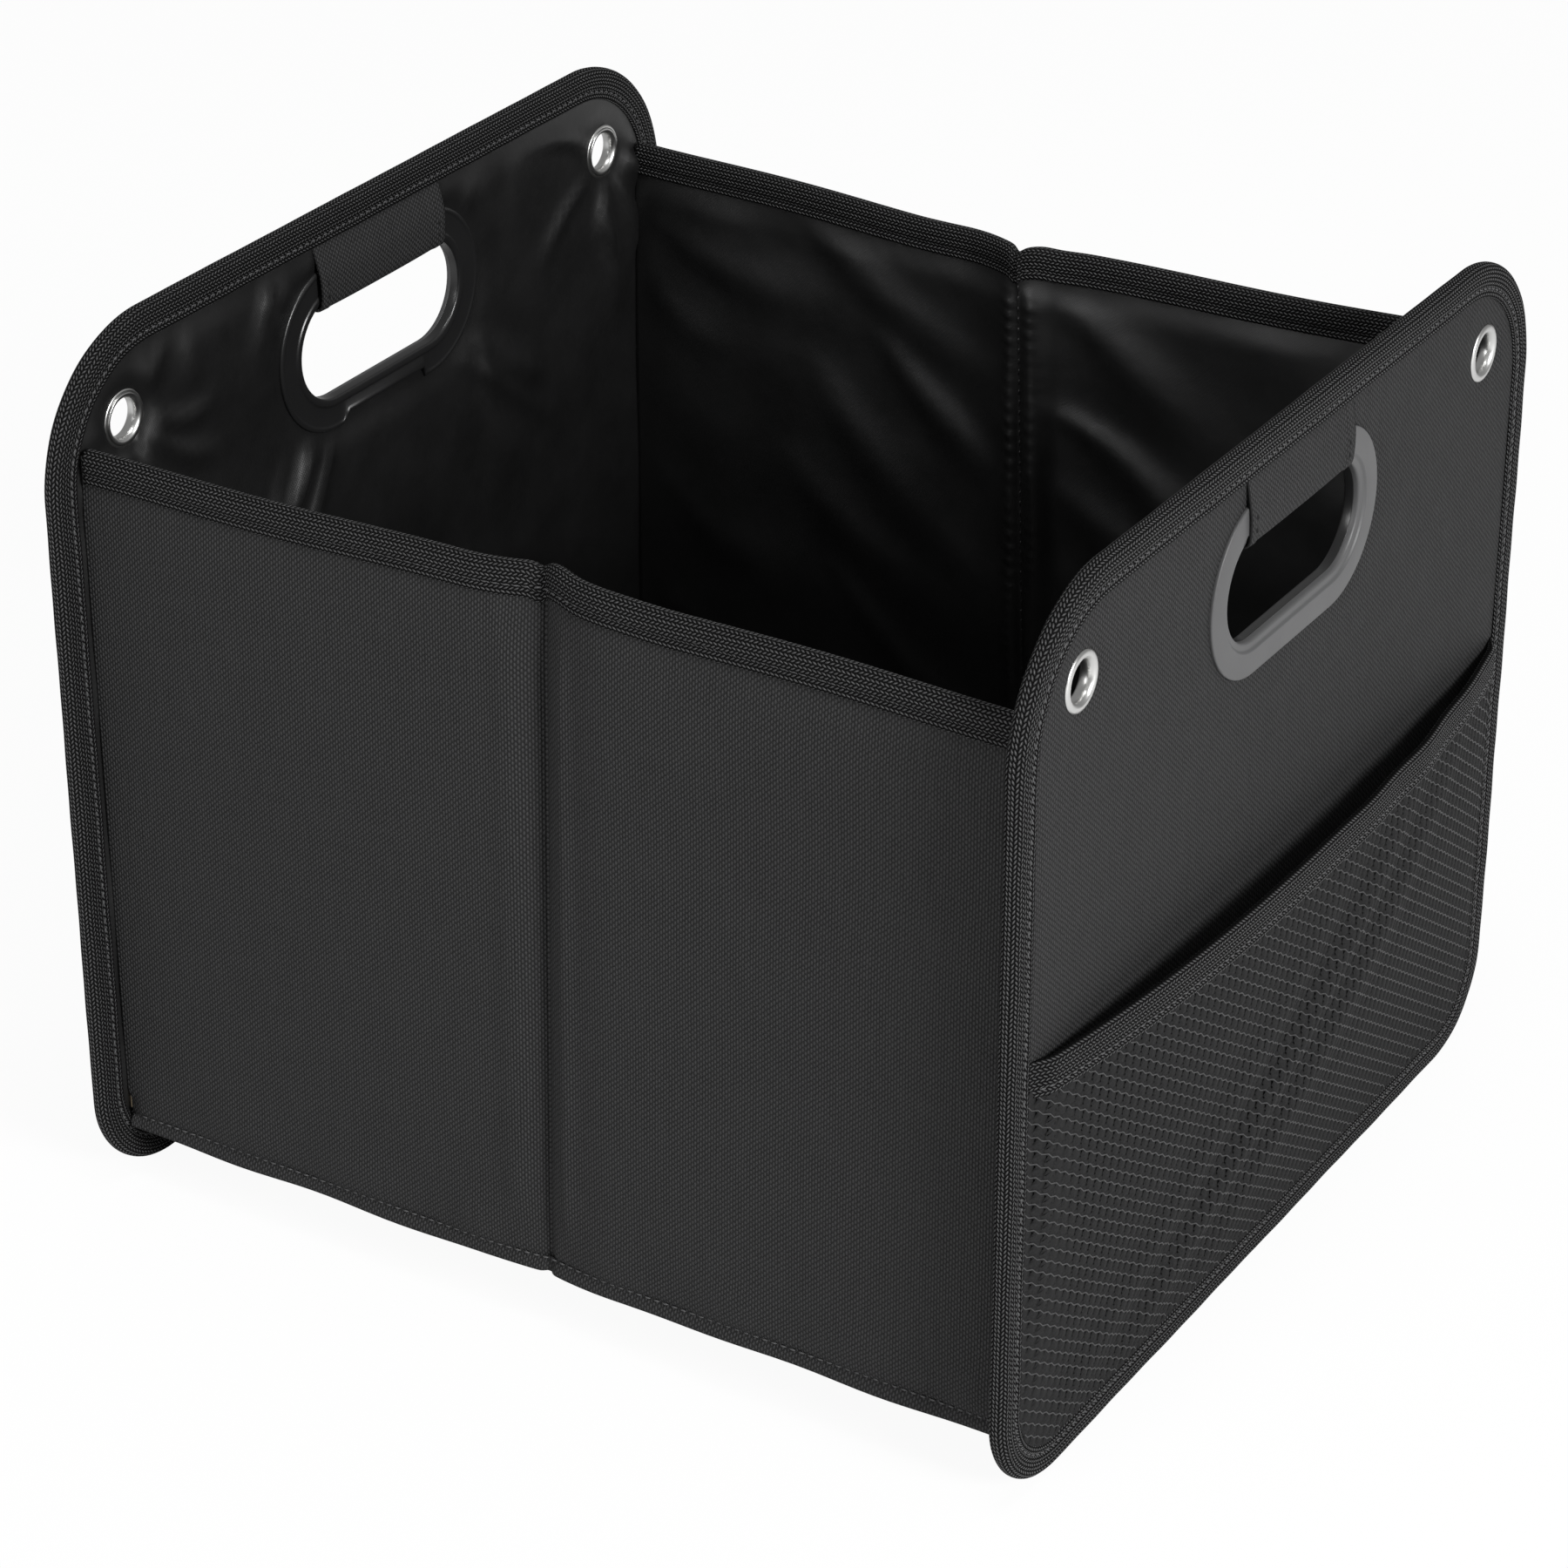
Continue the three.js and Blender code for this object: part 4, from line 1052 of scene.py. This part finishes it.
def floor_sheet(name, radius, low, edge_offset, top, sign, material):
    """A sheet that lies flat and turns up along both walls. sign says which face is seen."""
    centre = PANEL_HALF - BOTTOM_RADIUS
    rows = []
    for place in across_wall(8 * MM):
        edge = WALL_MIDDLE - wall_depth(place, top, "back") + edge_offset
        first = math.asin(min((BOTTOM_RADIUS - low) / radius, 1))
        last = math.acos(min((edge - centre) / radius, 1))
        bend = [first + (last - first) * i / 10 for i in range(11)]
        side = [(centre + radius * math.cos(a), BOTTOM_RADIUS - radius * math.sin(a)) for a in bend]
        side += [(edge, BOTTOM_RADIUS - radius * math.sin(last) + 2 * MM), (edge, top)]
        flat = np.linspace(-side[0][0], side[0][0], 38)[1:-1]
        row = [(-y, z) for y, z in reversed(side)] + [(y, low) for y in flat] + side
        rows.append([(place, y, z) for y, z in row])
    points = np.array(rows)
    inside = ramp(130 * MM - np.abs(points[..., 1]), 0, 30)
    sag = ripple(points[..., 0], points[..., 1], 15, 80 * MM, 0.3 * MM)
    points[..., 2] += inside * np.maximum(sag + 0.3 * MM, 0) * max(sign, 0)
    mesh = grid_mesh(name, points)
    facing(mesh, (0, 0, sign))
    return thicken(link(mesh, material))


# Putting it together

def dress_end(side):
    cover = end_cover(side)
    lining = end_lining(side)
    binding = end_binding(side)
    seams = [binding_stitches(side, "out"), binding_stitches(side, "in")]
    outer, inner = ring_outer(side), ring_inner(side)
    wrap = handle_wrap(side)
    knit, rows = mesh_pocket(side)
    hem = pocket_hem(side)
    hem_seam = hem_stitches(side)
    eyelets(side)
    for piece, node in ((cover, "end_cover"), (lining, "end_lining"), (binding, "end_binding"),
                        (outer, "handle_ring_outer"), (inner, "handle_ring_inner"),
                        (wrap, "handle_wrap"), (knit, "mesh_pocket"), (hem, "pocket_hem")):
        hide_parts(f"{node}_{side}")
    wrap_stitches(side)


def dress_wall(wall):
    cover = wall_cover(wall)
    lining = wall_lining(wall)
    binding = wall_binding(wall)
    groove = WALL_TOP - TAPE_WIDTH + STITCH_INSET
    top_out = wall_stitches(wall, "tape_stitches_out", groove, "out", STITCH_FACE)
    top_in = wall_stitches(wall, "tape_stitches_in", groove, "in", STITCH_FACE)
    foot = wall_stitches(wall, "seam_stitches", WALL_SEAM, "out", COVER_FACE - 0.35 * MM)
    crease = crease_stitches(wall)
    for piece, node in ((cover, "cover"), (lining, "lining"), (binding, "binding")):
        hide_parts(f"{wall}_wall_{node}")


def dress_floor():
    reach = BOTTOM_RADIUS - FLOOR_LOW
    cover = floor_sheet("cover_floor", reach, FLOOR_LOW, COVER_FACE - 1.1 * MM, WALL_SEAM, -1,
                        POLYESTER)
    lining = floor_sheet("lining_floor", reach - 2.1 * MM, FLOOR_LINING_LOW + 0.8 * MM,
                         -LINING_FACE - 1.1 * MM, FLOOR_LINING_TOP, 1, LINING)
    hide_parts("floor_cover")
    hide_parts("floor_lining")


def finish_boards():
    """The stiffening boards are hidden in the walls, and keep their own shape."""
    for name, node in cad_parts.items():
        if "_board" in name:
            for slot in node.material_slots:
                slot.material = BOARD


# Stage, light and camera

def show_white(tree, light, white, share, output):
    """Shows the camera a share of plain white in place of a surface that lights the part."""
    path = tree.nodes.new("ShaderNodeLightPath")
    scaled = tree.nodes.new("ShaderNodeMath")
    scaled.operation = "MULTIPLY"
    scaled.inputs[1].default_value = share
    mix = tree.nodes.new("ShaderNodeMixShader")
    for source, target in ((path.outputs["Is Camera Ray"], scaled.inputs[0]),
                           (scaled.outputs[0], mix.inputs["Fac"]),
                           (light.outputs[0], mix.inputs[1]), (white.outputs[0], mix.inputs[2]),
                           (mix.outputs[0], tree.nodes[output].inputs["Surface"])):
        tree.links.new(source, target)


def make_floor():
    mesh = bpy.data.meshes.new("floor_plane")
    corners = [(-1, -1), (1, -1), (1, 1), (-1, 1)]
    mesh.from_pydata([(x * FLOOR_SIZE, y * FLOOR_SIZE, 0) for x, y in corners], [], [(0, 1, 2, 3)])
    floor = bpy.data.objects.new("floor_plane", mesh)
    bpy.context.collection.objects.link(floor)
    floor.location.z = -0.2 * MM
    material = bpy.data.materials.new("studio_floor")
    material.use_nodes = True
    tree = material.node_tree
    tree.nodes.remove(tree.nodes["Principled BSDF"])
    diffuse = tree.nodes.new("ShaderNodeBsdfDiffuse")
    diffuse.inputs["Color"].default_value = (0.8, 0.8, 0.8, 1)
    glow = tree.nodes.new("ShaderNodeEmission")
    show_white(tree, diffuse, glow, FLOOR_WHITE, "Material Output")
    mesh.materials.append(material)


def make_world():
    world = bpy.data.worlds.new("studio")
    bpy.context.scene.world = world
    world.use_nodes = True
    tree = world.node_tree
    light = tree.nodes["Background"]
    white = tree.nodes.new("ShaderNodeBackground")
    for background, level in ((light, SKY_LEVEL), (white, 1.0)):
        background.inputs["Color"].default_value = (1, 1, 1, 1)
        background.inputs["Strength"].default_value = level
    show_white(tree, light, white, 1.0, "World Output")


def aim(thing, place, target):
    thing.location = place
    thing.rotation_euler = (Vector(target) - Vector(place)).to_track_quat("-Z", "Y").to_euler()


def make_light(name, place, size, power):
    lamp = bpy.data.lights.new(name, "AREA")
    lamp.shape = "DISK"
    lamp.size = size
    lamp.energy = power
    thing = bpy.data.objects.new(name, lamp)
    bpy.context.collection.objects.link(thing)
    aim(thing, place, LAMP_TARGET)


def make_camera():
    lens = bpy.data.cameras.new("camera")
    lens.sensor_width = 36
    lens.lens = LENS
    camera = bpy.data.objects.new("camera", lens)
    bpy.context.collection.objects.link(camera)
    aim(camera, CAMERA_PLACE, CAMERA_TARGET)
    bpy.context.scene.camera = camera


for side in ("right", "left"):
    dress_end(side)
for wall in ("front", "back"):
    dress_wall(wall)
dress_floor()
finish_boards()
make_floor()
make_world()
for name, (place, size, power) in LAMPS.items():
    make_light(name, place, size, power)
make_camera()
bpy.context.scene.view_settings.view_transform = "Standard"
